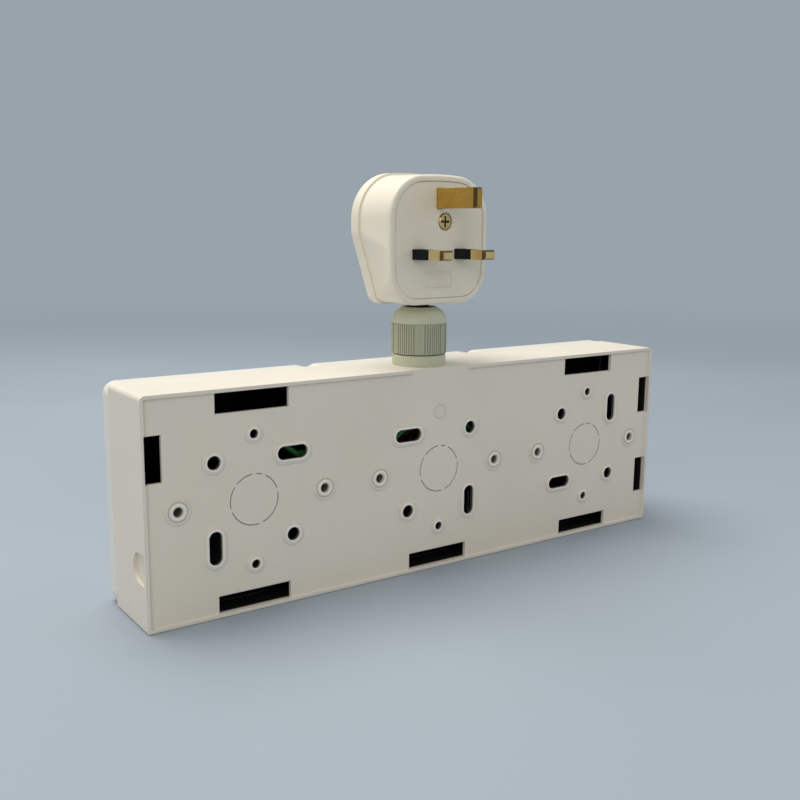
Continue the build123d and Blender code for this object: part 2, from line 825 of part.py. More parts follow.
def make_terminal(x):
    """Terminal block with three wire ways down through it and a screw hole from behind."""
    with BuildPart() as block:
        with BuildSketch(upright(housing_back_y)):
            with Locations((x, terminal_z)):
                Rectangle(terminal_size, terminal_height)
        extrude(amount=terminal_size)
        with BuildSketch(level(terminal_z)):
            with Locations(*[(x + step * terminal_way_pitch, terminal_y) for step in (-1, 0, 1)]):
                Circle(conductor_diameter / 2 + easy_fit)
        extrude(amount=terminal_height / 2, both=True, mode=Mode.SUBTRACT)
        with BuildSketch(upright(housing_back_y - terminal_size)):
            with Locations((x, terminal_z)):
                Circle(terminal_screw_diameter / 2 + snug_fit)
        extrude(amount=-terminal_size / 2, mode=Mode.SUBTRACT)
    return block.part


def make_strip(*spots):
    """Flat strip over the back of the housing, as rectangles (x, z, width, height)."""
    with BuildPart() as strip:
        with BuildSketch(upright(housing_back_y)):
            for spot_x, spot_z, width, height in spots:
                with Locations((spot_x, spot_z)):
                    Rectangle(width, height)
        extrude(amount=strip_thickness)
    return strip.part


def make_tail(x, z, front_y):
    """Narrow tail that runs from the strip forward through the housing."""
    with BuildPart() as tail:
        with BuildSketch(upright(housing_back_y - strip_thickness)):
            with Locations((x, z)):
                Rectangle(strip_width, strip_thickness)
        extrude(amount=-(front_y - housing_back_y + strip_thickness))
    return tail.part


def make_earth_contact(x):
    """Earth contact: a clip on the pin's sides, its tail, and its terminal."""
    with BuildPart() as contact:
        grip_width = earth_pin_height - 2 * earth_clip_inset
        add(make_pin_clip(x, earth_z, earth_pin_width, earth_clip_y, earth_clip_depth, grip_width, True))
        add(make_tail(x, earth_z, earth_clip_y - earth_clip_depth + clip_thickness))
        strip_low = earth_z - strip_thickness / 2
        add(make_strip((x, (strip_low + terminal_z) / 2, strip_width, terminal_z - strip_low)))
        add(make_terminal(x))
    return contact.part


def make_neutral_contact(x):
    """Neutral contact: a clip above and below the pin, its tail, a strip and its terminal."""
    pin_x = x + pin_spacing / 2
    strip_low = live_neutral_z - strip_thickness / 2
    with BuildPart() as contact:
        add(make_flat_clip(pin_x))
        add(make_tail(pin_x, live_neutral_z, flat_clip_y - flat_clip_depth + clip_thickness))
        add(make_strip((pin_x, (strip_low + terminal_z) / 2, strip_width, terminal_z - strip_low)))
        add(make_terminal(x + terminal_pitch))
    return contact.part


def make_live_contact(x):
    """Live contact: a clip on the pin, and a strip to the switch."""
    pin_x = x - pin_spacing / 2
    pad_x = x + rocker_x + pad_offset
    strip_low = live_neutral_z - strip_width / 2
    strip_high = pad_z + strip_thickness / 2
    with BuildPart() as contact:
        add(make_flat_clip(pin_x))
        add(make_tail(pin_x, live_neutral_z, flat_clip_y - flat_clip_depth + clip_thickness))
        across = ((pin_x + pad_x) / 2, live_neutral_z, pin_x - pad_x + strip_width, strip_width)
        upward = (pad_x, (strip_low + strip_high) / 2, strip_width, strip_high - strip_low)
        add(make_strip(across, upward))
        add(make_tail(pad_x, pad_z, contact_pad_y))
    return contact.part


def make_supply_strip(x):
    """Live supply: the terminal and the strip that leads to the switch."""
    block_x = x - terminal_pitch
    pad_x = x + rocker_x - pad_offset
    strip_low = pad_z - strip_thickness / 2
    with BuildPart() as strip:
        add(make_terminal(block_x))
        across = ((block_x + pad_x) / 2, terminal_z, block_x - pad_x + strip_width, strip_width)
        upward = (pad_x, (strip_low + terminal_z) / 2, strip_width, terminal_z - strip_low)
        add(make_strip(across, upward))
        add(make_tail(pad_x, pad_z, contact_pad_y))
    return strip.part


for gang, gang_name in zip(gangs, gang_names):
    gang_x = gang * gang_pitch
    save(make_faceplate(gang_x), f"socket_plate_{gang_name}")
    save(make_housing(gang_x), f"socket_housing_{gang_name}")
    save(make_rocker(gang_x), f"rocker_{gang_name}")
    save(make_blade(gang_x), f"switch_blade_{gang_name}")
    save(make_shutter(gang_x), f"shutter_{gang_name}")
    save(make_spring(gang_x), f"shutter_spring_{gang_name}")
    save(make_earth_contact(gang_x), f"earth_contact_{gang_name}")
    save(make_neutral_contact(gang_x), f"neutral_contact_{gang_name}")
    save(make_live_contact(gang_x), f"live_contact_{gang_name}")
    save(make_supply_strip(gang_x), f"supply_strip_{gang_name}")

terminal_spots = [(g * gang_pitch + s * terminal_pitch, terminal_z) for g in gangs for s in (-1, 0, 1)]
all_ears = [spot for g in gangs for spot in ear_spots(g * gang_pitch)]

# Terminal screws of the three sockets, driven from behind
with BuildPart() as terminal_screws:
    with BuildSketch(upright(housing_back_y - terminal_size)):
        with Locations(*terminal_spots):
            Circle(terminal_head_diameter / 2)
    extrude(amount=terminal_head_height)
    with BuildSketch(upright(housing_back_y - terminal_size)):
        with Locations(*terminal_spots):
            Circle(terminal_screw_diameter / 2)
    extrude(amount=-(terminal_size / 2 - conductor_diameter / 2 - easy_fit))
    with BuildSketch(upright(housing_back_y - terminal_size - terminal_head_height)):
        with Locations(*terminal_spots):
            Rectangle(terminal_head_diameter, driver_slot_width)
    extrude(amount=-driver_slot_depth, mode=Mode.SUBTRACT)
save(terminal_screws.part, "terminal_screws")

# Tapping screws that hold the housings to the plates
with BuildPart() as housing_screws:
    with BuildSketch(upright(ear_y - ear_thickness)):
        with Locations(*all_ears):
            Circle(tapping_head_diameter / 2)
    extrude(amount=tapping_head_height)
    with BuildSketch(upright(ear_y - ear_thickness)):
        with Locations(*all_ears):
            Circle(tapping_screw_diameter / 2)
    extrude(amount=-(ear_thickness + tapping_screw_bite))
save(housing_screws.part, "housing_screws")

# Heights of the gland above the box
collar_top_z = box_height + gland_collar_height
grip_low_z = collar_top_z + gland_joint
grip_high_z = collar_top_z + gland_grip_height
gland_top_z = grip_high_z + gland_dome_height
gland_neck_diameter = gland_nut_diameter - 2 * gland_nut_wall
seal_foot_z = collar_top_z + seal_rise
gland_low_z = box_height - box_wall - gland_thread_length

# Gland body: thread through the box's top wall, round collar and fingered neck
with BuildPart() as gland_body:
    with BuildSketch(level(box_height)):
        with Locations((gland_x, gland_y)):
            Circle(gland_thread_diameter / 2)
    extrude(amount=-(box_wall + gland_thread_length))
    with BuildSketch(level(box_height)):
        with Locations((gland_x, gland_y)):
            Circle(gland_collar_diameter / 2)
    extrude(amount=gland_collar_height)
    fillet(gland_body.edges().group_by(Axis.Z)[-1], radius=gland_collar_radius)
    with BuildSketch(level(collar_top_z)):
        with Locations((gland_x, gland_y)):
            Circle(gland_neck_diameter / 2 - easy_fit)
    extrude(amount=gland_grip_height - gland_neck_drop)
    with BuildSketch(level(seal_foot_z)):
        with Locations((gland_x, gland_y)):
            Circle(seal_diameter / 2 + snug_fit)
    extrude(amount=gland_grip_height, mode=Mode.SUBTRACT)
    with BuildSketch(level(seal_foot_z)):
        with Locations((gland_x, gland_y)):
            Circle(sheath_diameter / 2 + loose_fit)
    extrude(amount=gland_low_z - seal_foot_z, mode=Mode.SUBTRACT)
    with BuildSketch(level(grip_high_z - finger_length)):
        with Locations((gland_x, gland_y)):
            with PolarLocations(0, 3):
                Rectangle(gland_neck_diameter, finger_gap)
    extrude(amount=finger_length, mode=Mode.SUBTRACT)
save(gland_body.part, "gland_body")

# Locknut under the top wall
with BuildPart() as gland_locknut:
    with BuildSketch(level(box_height - box_wall)):
        with Locations((gland_x, gland_y)):
            RegularPolygon(locknut_across_flats / 2, 6, major_radius=False)
            Circle(gland_thread_diameter / 2 + snug_fit, mode=Mode.SUBTRACT)
    extrude(amount=-locknut_height)
save(gland_locknut.part, "gland_locknut")

# Rubber seal that the fingers press on the cable
with BuildPart() as gland_seal:
    with BuildSketch(level(seal_foot_z)):
        with Locations((gland_x, gland_y)):
            Circle(seal_diameter / 2)
            Circle(sheath_diameter / 2, mode=Mode.SUBTRACT)
    extrude(amount=gland_top_z - seal_foot_z - seal_sink)
save(gland_seal.part, "gland_seal")

# Gland nut: a ribbed skirt under a dome, hollow for the neck and the cable
with BuildPart() as gland_nut:
    nut_radius = gland_nut_diameter / 2
    top_radius = gland_top_diameter / 2
    crown_low_z = gland_top_z - gland_top_chamfer
    with BuildSketch(Plane(origin=(gland_x, gland_y, 0), x_dir=(1, 0, 0), z_dir=(0, -1, 0))):
        with BuildLine():
            Polyline(
                (gland_mouth_diameter / 2, gland_top_z),
                (gland_mouth_diameter / 2, gland_top_z - gland_lip_height),
                (gland_neck_diameter / 2, grip_high_z),
                (gland_neck_diameter / 2, grip_low_z),
                (nut_radius, grip_low_z),
                (nut_radius, grip_high_z),
            )
            ThreePointArc(
                (nut_radius, grip_high_z),
                (nut_radius - gland_dome_bulge, gland_top_z - gland_dome_height / 2),
                (top_radius, crown_low_z),
            )
            Polyline(
                (top_radius, crown_low_z),
                (top_radius - gland_top_chamfer, gland_top_z),
                (gland_mouth_diameter / 2, gland_top_z),
            )
        make_face()
    revolve(axis=Axis((gland_x, gland_y, 0), (0, 0, 1)))
    with BuildSketch(level(grip_low_z)):
        with Locations((gland_x, gland_y)):
            for group in range(gland_rib_groups):
                group_turn = gland_rib_turn + 360 / gland_rib_groups * group
                for rib in range(gland_rib_count + 1):
                    turn = group_turn + gland_rib_step * (rib - gland_rib_count / 2)
                    with PolarLocations(nut_radius, 1, start_angle=turn):
                        Rectangle(2 * gland_rib_depth, gland_groove_width)
                with PolarLocations(nut_radius, 1, start_angle=group_turn + 180 / gland_rib_groups):
                    Rectangle(2 * gland_flat_depth, gland_flat_width)
    extrude(amount=grip_high_z - grip_low_z - gland_rib_stop, mode=Mode.SUBTRACT)
save(gland_nut.part, "gland_nut")

# Plug, in a frame of its own: across, depth from the pin face, and rise above the live pin
yaw = radians(plug_yaw)
across_dir = (cos(yaw), sin(yaw), 0)
pins_dir = (sin(yaw), -cos(yaw), 0)


def in_plug(across, depth, rise):
    """A point of the plug in the model's frame."""
    reach = plug_axis_depth - depth
    return (
        gland_x + across * across_dir[0] + reach * pins_dir[0],
        gland_y + across * across_dir[1] + reach * pins_dir[1],
        plug_pin_level + rise,
    )


def pin_plane(depth):
    """Sketch plane parallel to the pin face, whose axes are across and rise."""
    return Plane(origin=in_plug(0, depth, 0), x_dir=across_dir, z_dir=pins_dir)


def plug_level(rise):
    """Level sketch plane of the plug, whose axes are across and depth."""
    return Plane(origin=in_plug(0, 0, rise), x_dir=across_dir, z_dir=(0, 0, 1))


def make_outline(half_width, chin_half_width, rise, drop, hip_rise, shoulder_radius, chin_radius, inset):
    """Plug outline: domed top, round shoulders, sides that draw in to the chin."""
    with BuildSketch(mode=Mode.PRIVATE) as outline:
        with BuildLine():
            ThreePointArc((-half_width, rise - plug_crown), (0, rise), (half_width, rise - plug_crown))
            Polyline(
                (half_width, rise - plug_crown),
                (half_width, hip_rise),
                (chin_half_width, -drop),
                (-chin_half_width, -drop),
                (-half_width, hip_rise),
                (-half_width, rise - plug_crown),
            )
        make_face()
        corners = outline.vertices()
        chins = [v for v in corners if abs(v.Y + drop) < 0.01]
        fillet(chins, radius=chin_radius)
        hips = [v for v in outline.vertices() if abs(v.Y - hip_rise) < 0.01]
        fillet(hips, radius=hip_radius)
        shoulders = [v for v in outline.vertices() if abs(v.Y - rise + plug_crown) < 0.01]
        fillet(shoulders, radius=shoulder_radius)
        if inset:
            offset(amount=-inset, mode=Mode.REPLACE)
    return outline.sketch


def front_outline(inset):
    """Outline of the pin face."""
    return make_outline(
        plug_half_width,
        plug_chin_half_width,
        plug_rise,
        plug_drop,
        plug_hip_rise,
        plug_shoulder_radius,
        plug_chin_radius,
        inset,
    )


def back_outline(inset):
    """Outline of the cover's back lip."""
    return make_outline(
        plug_back_half_width,
        plug_back_chin_half_width,
        plug_back_rise,
        plug_back_drop,
        plug_back_hip_rise,
        plug_back_shoulder_radius,
        plug_back_chin_radius,
        inset,
    )


plug_depth = plug_body_depth + plug_lip_depth
panel_back = plug_panel_sink + plug_panel_thickness
grip_rise = -plug_drop + plug_wall + grip_bar_height / 2 + grip_gap
grip_screw_spots = ((-grip_screw_spacing / 2, grip_rise), (grip_screw_spacing / 2, grip_rise))
fuse_clip_base_depth = fuse_depth - fuse_diameter / 2 - snug_fit - strip_thickness
cable_back = plug_axis_depth + sheath_diameter / 2
cable_front = plug_axis_depth - sheath_diameter / 2
core_depth = pin_block_depth - core_way_height

# Plug cover: waisted sides from the pin face to a lipped back, hollow and open at the pin face
with BuildPart() as plug_cover:
    with BuildSketch(pin_plane(plug_front_radius)):
        add(front_outline(0))
    with BuildSketch(pin_plane(plug_body_depth)):
        add(back_outline(plug_groove))
    loft()

    # Rounded rim of the pin face, in three narrow bands
    rim_turns = (0, 30, 60, 90)
    for turn, next_turn in zip(rim_turns, rim_turns[1:]):
        with BuildSketch(pin_plane(plug_front_radius * (1 - cos(radians(turn))))):
            add(front_outline(plug_front_radius * (1 - sin(radians(turn)))))
        with BuildSketch(pin_plane(plug_front_radius * (1 - cos(radians(next_turn))))):
            add(front_outline(plug_front_radius * (1 - sin(radians(next_turn)))))
        loft()
    with BuildSketch(pin_plane(plug_body_depth)):
        add(back_outline(0))
    extrude(amount=-plug_lip_depth)
    back_edges = plug_cover.faces().sort_by(Axis(in_plug(0, 0, 0), pins_dir))[0].edges()
    fillet(back_edges, radius=plug_back_radius)
    with BuildSketch(pin_plane(0)):
        add(front_outline(plug_wall))
    with BuildSketch(pin_plane(plug_body_depth)):
        add(back_outline(plug_groove + plug_wall))
    loft(mode=Mode.SUBTRACT)
    with BuildSketch(pin_plane(plug_body_depth)):
        add(back_outline(plug_groove + plug_wall))
    extrude(amount=-(plug_lip_depth - plug_wall), mode=Mode.SUBTRACT)

    # Boss that the cover screw bites into, and the mouth for the cable
    with BuildSketch(pin_plane(plug_depth - plug_wall)):
        with Locations((plug_screw_across, plug_screw_rise)):
            Circle(plug_boss_diameter / 2)
    extrude(amount=plug_depth - plug_wall - boss_joint_depth)
    with BuildSketch(pin_plane(boss_joint_depth)):
        with Locations((plug_screw_across, plug_screw_rise)):
            Circle(screw_diameter / 2 + snug_fit)
    extrude(amount=-(plug_screw_reach - boss_joint_depth + plug_screw_end_room), mode=Mode.SUBTRACT)
    with BuildSketch(level(plug_pin_level - plug_back_drop)):
        with Locations((gland_x, gland_y)):
            Circle(sheath_diameter / 2 + loose_fit)
    extrude(amount=plug_wall * 3, mode=Mode.SUBTRACT)
save(plug_cover.part, "plug_cover")

# Plug base: the pin face with its screw recess, screw boss and cable saddle
with BuildPart() as plug_base:
    with BuildSketch(pin_plane(0)):
        add(front_outline(plug_wall + easy_fit))
    with BuildSketch(pin_plane(plug_body_depth)):
        add(back_outline(plug_groove + plug_wall + easy_fit))
    loft()
    with BuildSketch(pin_plane(plug_panel_sink)):
        Rectangle(4 * plug_half_width, 4 * plug_half_width)
    extrude(amount=-plug_panel_thickness, mode=Mode.INTERSECT)
    with BuildSketch(pin_plane(panel_back)):
        with Locations((plug_screw_across, plug_screw_rise)):
            Circle(plug_boss_diameter / 2)
    extrude(amount=-(boss_joint_depth - easy_fit - panel_back))
    with BuildSketch(pin_plane(panel_back)):
        with Locations((0, grip_rise)):
            Rectangle(grip_bar_width, grip_bar_height)
    extrude(amount=-(cable_front - snug_fit - panel_back))
    with BuildSketch(pin_plane(cable_front)):
        with Locations(*grip_screw_spots):
            Circle(grip_screw_diameter / 2 + tapping_fit)
    extrude(amount=cable_front - panel_back, mode=Mode.SUBTRACT)

    # Screw hole with its recess, and the ways of the three pins
    with BuildSketch(pin_plane(0)):
        with Locations((plug_screw_across, plug_screw_rise)):
            Circle(screw_diameter / 2 + screw_clearance)
    extrude(amount=-boss_joint_depth, mode=Mode.SUBTRACT)
    with BuildSketch(pin_plane(0)):
        with Locations((plug_screw_across, plug_screw_rise)):
            Circle(plug_screw_recess_diameter / 2)
    extrude(amount=-(plug_panel_sink + plug_screw_recess), mode=Mode.SUBTRACT)
    with BuildSketch(pin_plane(0)):
        with Locations((-pin_spacing / 2, 0), (pin_spacing / 2, 0)):
            Rectangle(flat_pin_width + 2 * snug_fit, flat_pin_height + 2 * snug_fit)
        with Locations((0, earth_rise)):
            Rectangle(earth_pin_width + 2 * snug_fit, earth_pin_height + 2 * snug_fit)
    extrude(amount=-panel_back, mode=Mode.SUBTRACT)
save(plug_base.part, "plug_base")


def make_pin_shank(across, rise, width, height, length):
    """Pin from its chamfered tip back to the inner face of the plug base."""
    with BuildPart() as pin:
        with BuildSketch(pin_plane(panel_back)):
            with Locations((across, rise)):
                Rectangle(width, height)
        extrude(amount=panel_back + length)
        tip = pin.faces().sort_by(Axis(in_plug(0, 0, 0), pins_dir))[-1]
        chamfer(tip.edges(), length=pin_chamfer, length2=pin_chamfer_inset)
    return pin.part


def make_pin_block(across, rise, width, height):
    """Terminal block on the inner end of a pin, with a wire way across and a screw hole from behind."""
    with BuildPart() as block:
        with BuildSketch(pin_plane(panel_back)):
            with Locations((across, rise)):
                Rectangle(width, height)
        extrude(amount=-(pin_block_depth - panel_back))
        way_start = in_plug(across, core_depth, rise)
        with BuildSketch(Plane(origin=way_start, x_dir=(0, 0, 1), z_dir=across_dir)):
            Circle(conductor_diameter / 2 + easy_fit)
        extrude(amount=width / 2, both=True, mode=Mode.SUBTRACT)
        with BuildSketch(pin_plane(pin_block_depth)):
            with Locations((across, rise)):
                Circle(plug_terminal_screw_diameter / 2 + snug_fit)
        extrude(amount=pin_block_depth - core_depth, mode=Mode.SUBTRACT)
    return block.part


neck_width = flat_pin_width - 2 * sleeve_wall
neck_height = flat_pin_height - 2 * sleeve_wall


def neck_pin(across):
    """Cut that narrows a flat pin where its sleeve sits."""
    with BuildPart() as cut:
        with BuildSketch(pin_plane(plug_panel_sink + sleeve_root)):
            with Locations((across, 0)):
                Rectangle(2 * flat_pin_width, 2 * flat_pin_height)
                Rectangle(neck_width, neck_height, mode=Mode.SUBTRACT)
        extrude(amount=sleeve_root + plug_panel_sink + sleeve_length)
    return cut.part


# Earth pin
with BuildPart() as earth_pin:
    add(make_pin_shank(0, earth_rise, earth_pin_width, earth_pin_height, earth_pin_length))
    add(make_pin_block(0, earth_rise, earth_block_width, earth_pin_height))
save(earth_pin.part, "earth_pin")

# Neutral pin
with BuildPart() as neutral_pin:
    add(make_pin_shank(pin_spacing / 2, 0, flat_pin_width, flat_pin_height, flat_pin_length))
    add(neck_pin(pin_spacing / 2), mode=Mode.SUBTRACT)
    add(make_pin_block(pin_spacing / 2, 0, terminal_size, terminal_size))
save(neutral_pin.part, "neutral_pin")


def make_fuse_clip(rise):
    """Sprung U that holds one cap of the fuse, open to the back."""
    inner_width = fuse_diameter + 2 * snug_fit
    clip_depth = fuse_depth - fuse_clip_base_depth + fuse_clip_arm
    with BuildPart() as clip:
        with BuildSketch(plug_level(rise)):
            with Locations((fuse_across, fuse_clip_base_depth + clip_depth / 2)):
                Rectangle(inner_width + 2 * strip_thickness, clip_depth)
            with Locations((fuse_across, fuse_clip_base_depth + strip_thickness + clip_depth / 2)):
                Rectangle(inner_width, clip_depth, mode=Mode.SUBTRACT)
        extrude(amount=fuse_clip_height / 2, both=True)
    return clip.part


# Live pin, whose inner end carries the lower fuse clip
with BuildPart() as live_pin:
    add(make_pin_shank(-pin_spacing / 2, 0, flat_pin_width, flat_pin_height, flat_pin_length))
    add(neck_pin(-pin_spacing / 2), mode=Mode.SUBTRACT)
    with BuildSketch(pin_plane(panel_back)):
        with Locations((-pin_spacing / 2, 0)):
            Rectangle(flat_pin_width, flat_pin_height)
    extrude(amount=-(fuse_clip_base_depth + strip_thickness - panel_back))
    add(make_fuse_clip(fuse_low_rise + fuse_cap_length / 2))
save(live_pin.part, "live_pin")

# Black sleeves moulded round the roots of the live and neutral pins
for sleeve_name, sleeve_side in (("live_sleeve", -1), ("neutral_sleeve", 1)):
    with BuildPart() as sleeve:
        with BuildSketch(pin_plane(plug_panel_sink + sleeve_root)):
            with Locations((sleeve_side * pin_spacing / 2, 0)):
                Rectangle(flat_pin_width, flat_pin_height)
                Rectangle(neck_width, neck_height, mode=Mode.SUBTRACT)
        extrude(amount=sleeve_root + plug_panel_sink + sleeve_length)
    save(sleeve.part, sleeve_name)

# Upper fuse clip with the terminal of the live core
fuse_high_rise = fuse_low_rise + fuse_length
upper_clip_rise = fuse_high_rise - fuse_cap_length / 2
live_block_across = fuse_across + fuse_diameter / 2 + snug_fit + live_block_width / 2
with BuildPart() as fuse_clip:
    add(make_fuse_clip(upper_clip_rise))
    with BuildSketch(pin_plane(live_block_front)):
        with Locations((live_block_across, upper_clip_rise)):
            Rectangle(live_block_width, fuse_clip_height)
    extrude(amount=-(pin_block_depth - live_block_front))
    with BuildSketch(plug_level(upper_clip_rise)):
        with Locations((live_block_across, core_depth)):
            Circle(conductor_diameter / 2 + easy_fit)
    extrude(amount=fuse_clip_height / 2, both=True, mode=Mode.SUBTRACT)
    with BuildSketch(pin_plane(pin_block_depth)):
        with Locations((live_block_across, upper_clip_rise)):
            Circle(plug_terminal_screw_diameter / 2 + snug_fit)
    extrude(amount=pin_block_depth - core_depth, mode=Mode.SUBTRACT)
save(fuse_clip.part, "fuse_clip")

# Fuse: a ceramic barrel between two metal caps
with BuildPart() as fuse_barrel:
    with BuildSketch(plug_level(fuse_low_rise + fuse_cap_wall)):
        with Locations((fuse_across, fuse_depth)):
            Circle(fuse_diameter / 2 - fuse_cap_wall)
    extrude(amount=fuse_length - 2 * fuse_cap_wall)
save(fuse_barrel.part, "fuse_barrel")

with BuildPart() as fuse_caps:
    for cap_rise, cap_side in ((fuse_low_rise, 1), (fuse_high_rise, -1)):
        with BuildSketch(plug_level(cap_rise)):
            with Locations((fuse_across, fuse_depth)):
                Circle(fuse_diameter / 2)
        extrude(amount=cap_side * fuse_cap_length)
        with BuildSketch(plug_level(cap_rise + cap_side * fuse_cap_wall)):
            with Locations((fuse_across, fuse_depth)):
                Circle(fuse_diameter / 2 - fuse_cap_wall)
        extrude(amount=cap_side * fuse_cap_length, mode=Mode.SUBTRACT)
save(fuse_caps.part, "fuse_caps")

# Terminal screws of the plug
plug_terminals = ((0, earth_rise), (pin_spacing / 2, 0), (live_block_across, upper_clip_rise))
with BuildPart() as plug_terminal_screws:
    with BuildSketch(pin_plane(pin_block_depth)):
        with Locations(*plug_terminals):
            Circle(plug_terminal_head_diameter / 2)
    extrude(amount=-terminal_head_height)
    with BuildSketch(pin_plane(pin_block_depth)):
        with Locations(*plug_terminals):
            Circle(plug_terminal_screw_diameter / 2)
    extrude(amount=pin_block_depth - core_depth - conductor_diameter / 2 - easy_fit)
    with BuildSketch(pin_plane(pin_block_depth + terminal_head_height)):
        with Locations(*plug_terminals):
            Rectangle(plug_terminal_head_diameter, driver_slot_width)
    extrude(amount=driver_slot_depth, mode=Mode.SUBTRACT)
save(plug_terminal_screws.part, "plug_terminal_screws")

# Cord grip across the back of the cable, with its two screws
grip_back = cable_back + snug_fit + grip_bar_thickness
with BuildPart() as cord_grip:
    with BuildSketch(pin_plane(cable_back + snug_fit)):
        with Locations((0, grip_rise)):
            RectangleRounded(grip_bar_width, grip_bar_height, grip_corner_radius)
        with Locations(*grip_screw_spots):
            Circle(grip_screw_diameter / 2 + clear_fit, mode=Mode.SUBTRACT)
    extrude(amount=-grip_bar_thickness)
save(cord_grip.part, "cord_grip")

with BuildPart() as cord_grip_screws:
    with BuildSketch(pin_plane(grip_back)):
        with Locations(*grip_screw_spots):
            Circle(grip_head_diameter / 2)
    extrude(amount=-grip_head_height)
    with BuildSketch(pin_plane(grip_back)):
        with Locations(*grip_screw_spots):
            Circle(grip_screw_diameter / 2)
    extrude(amount=grip_back - panel_back - loose_fit)
    with BuildSketch(pin_plane(grip_back + grip_head_height)):
        with Locations(*grip_screw_spots):
            Rectangle(grip_head_diameter, driver_slot_width)
    extrude(amount=driver_slot_depth, mode=Mode.SUBTRACT)
save(cord_grip_screws.part, "cord_grip_screws")

# Brass screw in the pin face that holds the plug together, with a cross recess
plug_head_depth = plug_panel_sink + plug_screw_recess
with BuildPart() as plug_screw:
    with BuildSketch(pin_plane(plug_head_depth)):
        with Locations((plug_screw_across, plug_screw_rise)):
            Circle(plug_screw_head_diameter / 2)
    extrude(amount=plug_screw_head_height)
    head_face = plug_screw.faces().sort_by(Axis(in_plug(0, 0, 0), pins_dir))[-1]
    chamfer(head_face.edges(), length=plug_head_chamfer)
    with BuildSketch(pin_plane(plug_head_depth)):
        with Locations((plug_screw_across, plug_screw_rise)):
            Circle(screw_diameter / 2)
    extrude(amount=-(plug_screw_reach - plug_head_depth))
    with BuildSketch(pin_plane(plug_head_depth - plug_screw_head_height)):
        with Locations((plug_screw_across, plug_screw_rise)):
            Rectangle(cross_recess_length, cross_recess_width)
            Rectangle(cross_recess_width, cross_recess_length)
    extrude(amount=-driver_slot_depth, mode=Mode.SUBTRACT)
save(plug_screw.part, "plug_screw")


def make_wire(points, bare_start, bare_end):
    """Wire along a path of straight runs and small arcs, with bared ends of given lengths."""
    ends = [Vector(*points[0]), Vector(*points[1]), Vector(*points[-2]), Vector(*points[-1])]
    with BuildPart() as wire:
        with BuildLine() as path:
            FilletPolyline(*points, radius=core_bend_radius)
        with BuildSketch(Plane(origin=path.line @ 0, z_dir=path.line % 0)):
            Circle(core_diameter / 2)
        sweep()
        with BuildSketch(Plane(origin=ends[0], z_dir=ends[0] - ends[1])):
            Circle(conductor_diameter / 2)
        extrude(amount=bare_start)
        with BuildSketch(Plane(origin=ends[3], z_dir=ends[3] - ends[2])):
            Circle(conductor_diameter / 2)
        extrude(amount=bare_end)
    return wire.part


# Sheath of the cable, from inside the box up into the plug
sheath_top_rise = grip_rise + grip_bar_height / 2 + sheath_overrun
sheath_low_z = gland_low_z - sheath_end_drop
with BuildPart() as cable_sheath:
    with BuildSketch(level(sheath_low_z)):
        with Locations((gland_x, gland_y)):
            Circle(sheath_diameter / 2)
            Circle(sheath_bore / 2, mode=Mode.SUBTRACT)
    extrude(amount=plug_pin_level + sheath_top_rise - sheath_low_z)
save(cable_sheath.part, "cable_sheath")

# Spots of the three cores in the sheath, as across and depth from the cable's middle
core_spots = {
    "live": (-core_circle_radius * cos(radians(30)), -core_circle_radius * sin(radians(30))),
    "neutral": (core_circle_radius * cos(radians(30)), -core_circle_radius * sin(radians(30))),
    "earth": (0, core_circle_radius),
}
terminal_top_z = terminal_z + terminal_height / 2
terminal_low_z = terminal_z - terminal_height / 2
plug_turn_rise = sheath_top_rise + plug_core_run
box_turn_z = sheath_low_z - box_core_run


def core_in_sheath(name, rise):
    """Where a core lies in the sheath at a height."""
    across, depth = core_spots[name]
    return in_plug(across, plug_axis_depth + depth, rise)


def core_down(name, terminal_x):
    """A core's way out of the sheath in the box and down into its terminal."""
    low = core_in_sheath(name, box_turn_z - plug_pin_level)
    return [
        low,
        (terminal_x, terminal_y, terminal_top_z + terminal_run),
        (terminal_x, terminal_y, terminal_top_z + wire_end_gap),
    ]


# Live, neutral and earth cores from the plug's terminals to the middle socket
live_points = [
    in_plug(live_block_across, core_depth, upper_clip_rise - fuse_clip_height / 2 - wire_end_gap),
    in_plug(live_block_across, core_depth, side_core_low),
    core_in_sheath("live", plug_turn_rise),
    *core_down("live", -terminal_pitch),
]
neutral_points = [
    in_plug(pin_spacing / 2 - terminal_size / 2 - wire_end_gap, core_depth, 0),
    in_plug(neutral_turn_across, core_depth, 0),
    core_in_sheath("neutral", plug_turn_rise),
    *core_down("neutral", terminal_pitch),
]
earth_points = [
    in_plug(earth_block_width / 2 + wire_end_gap, core_depth, earth_rise),
    in_plug(earth_turn_across, core_depth, earth_rise),
    in_plug(earth_side_across, (core_depth + plug_axis_depth) / 2, earth_side_high),
    in_plug(earth_low_across, plug_axis_depth, side_core_low),
    core_in_sheath("earth", plug_turn_rise),
    *core_down("earth", 0),
]
socket_bare_end = terminal_height - bare_end_short
save(make_wire(live_points, fuse_clip_height - bare_end_short, socket_bare_end), "live_core")
save(make_wire(neutral_points, terminal_size - bare_end_short, socket_bare_end), "neutral_core")
save(make_wire(earth_points, earth_block_width - bare_end_short, socket_bare_end), "earth_core")


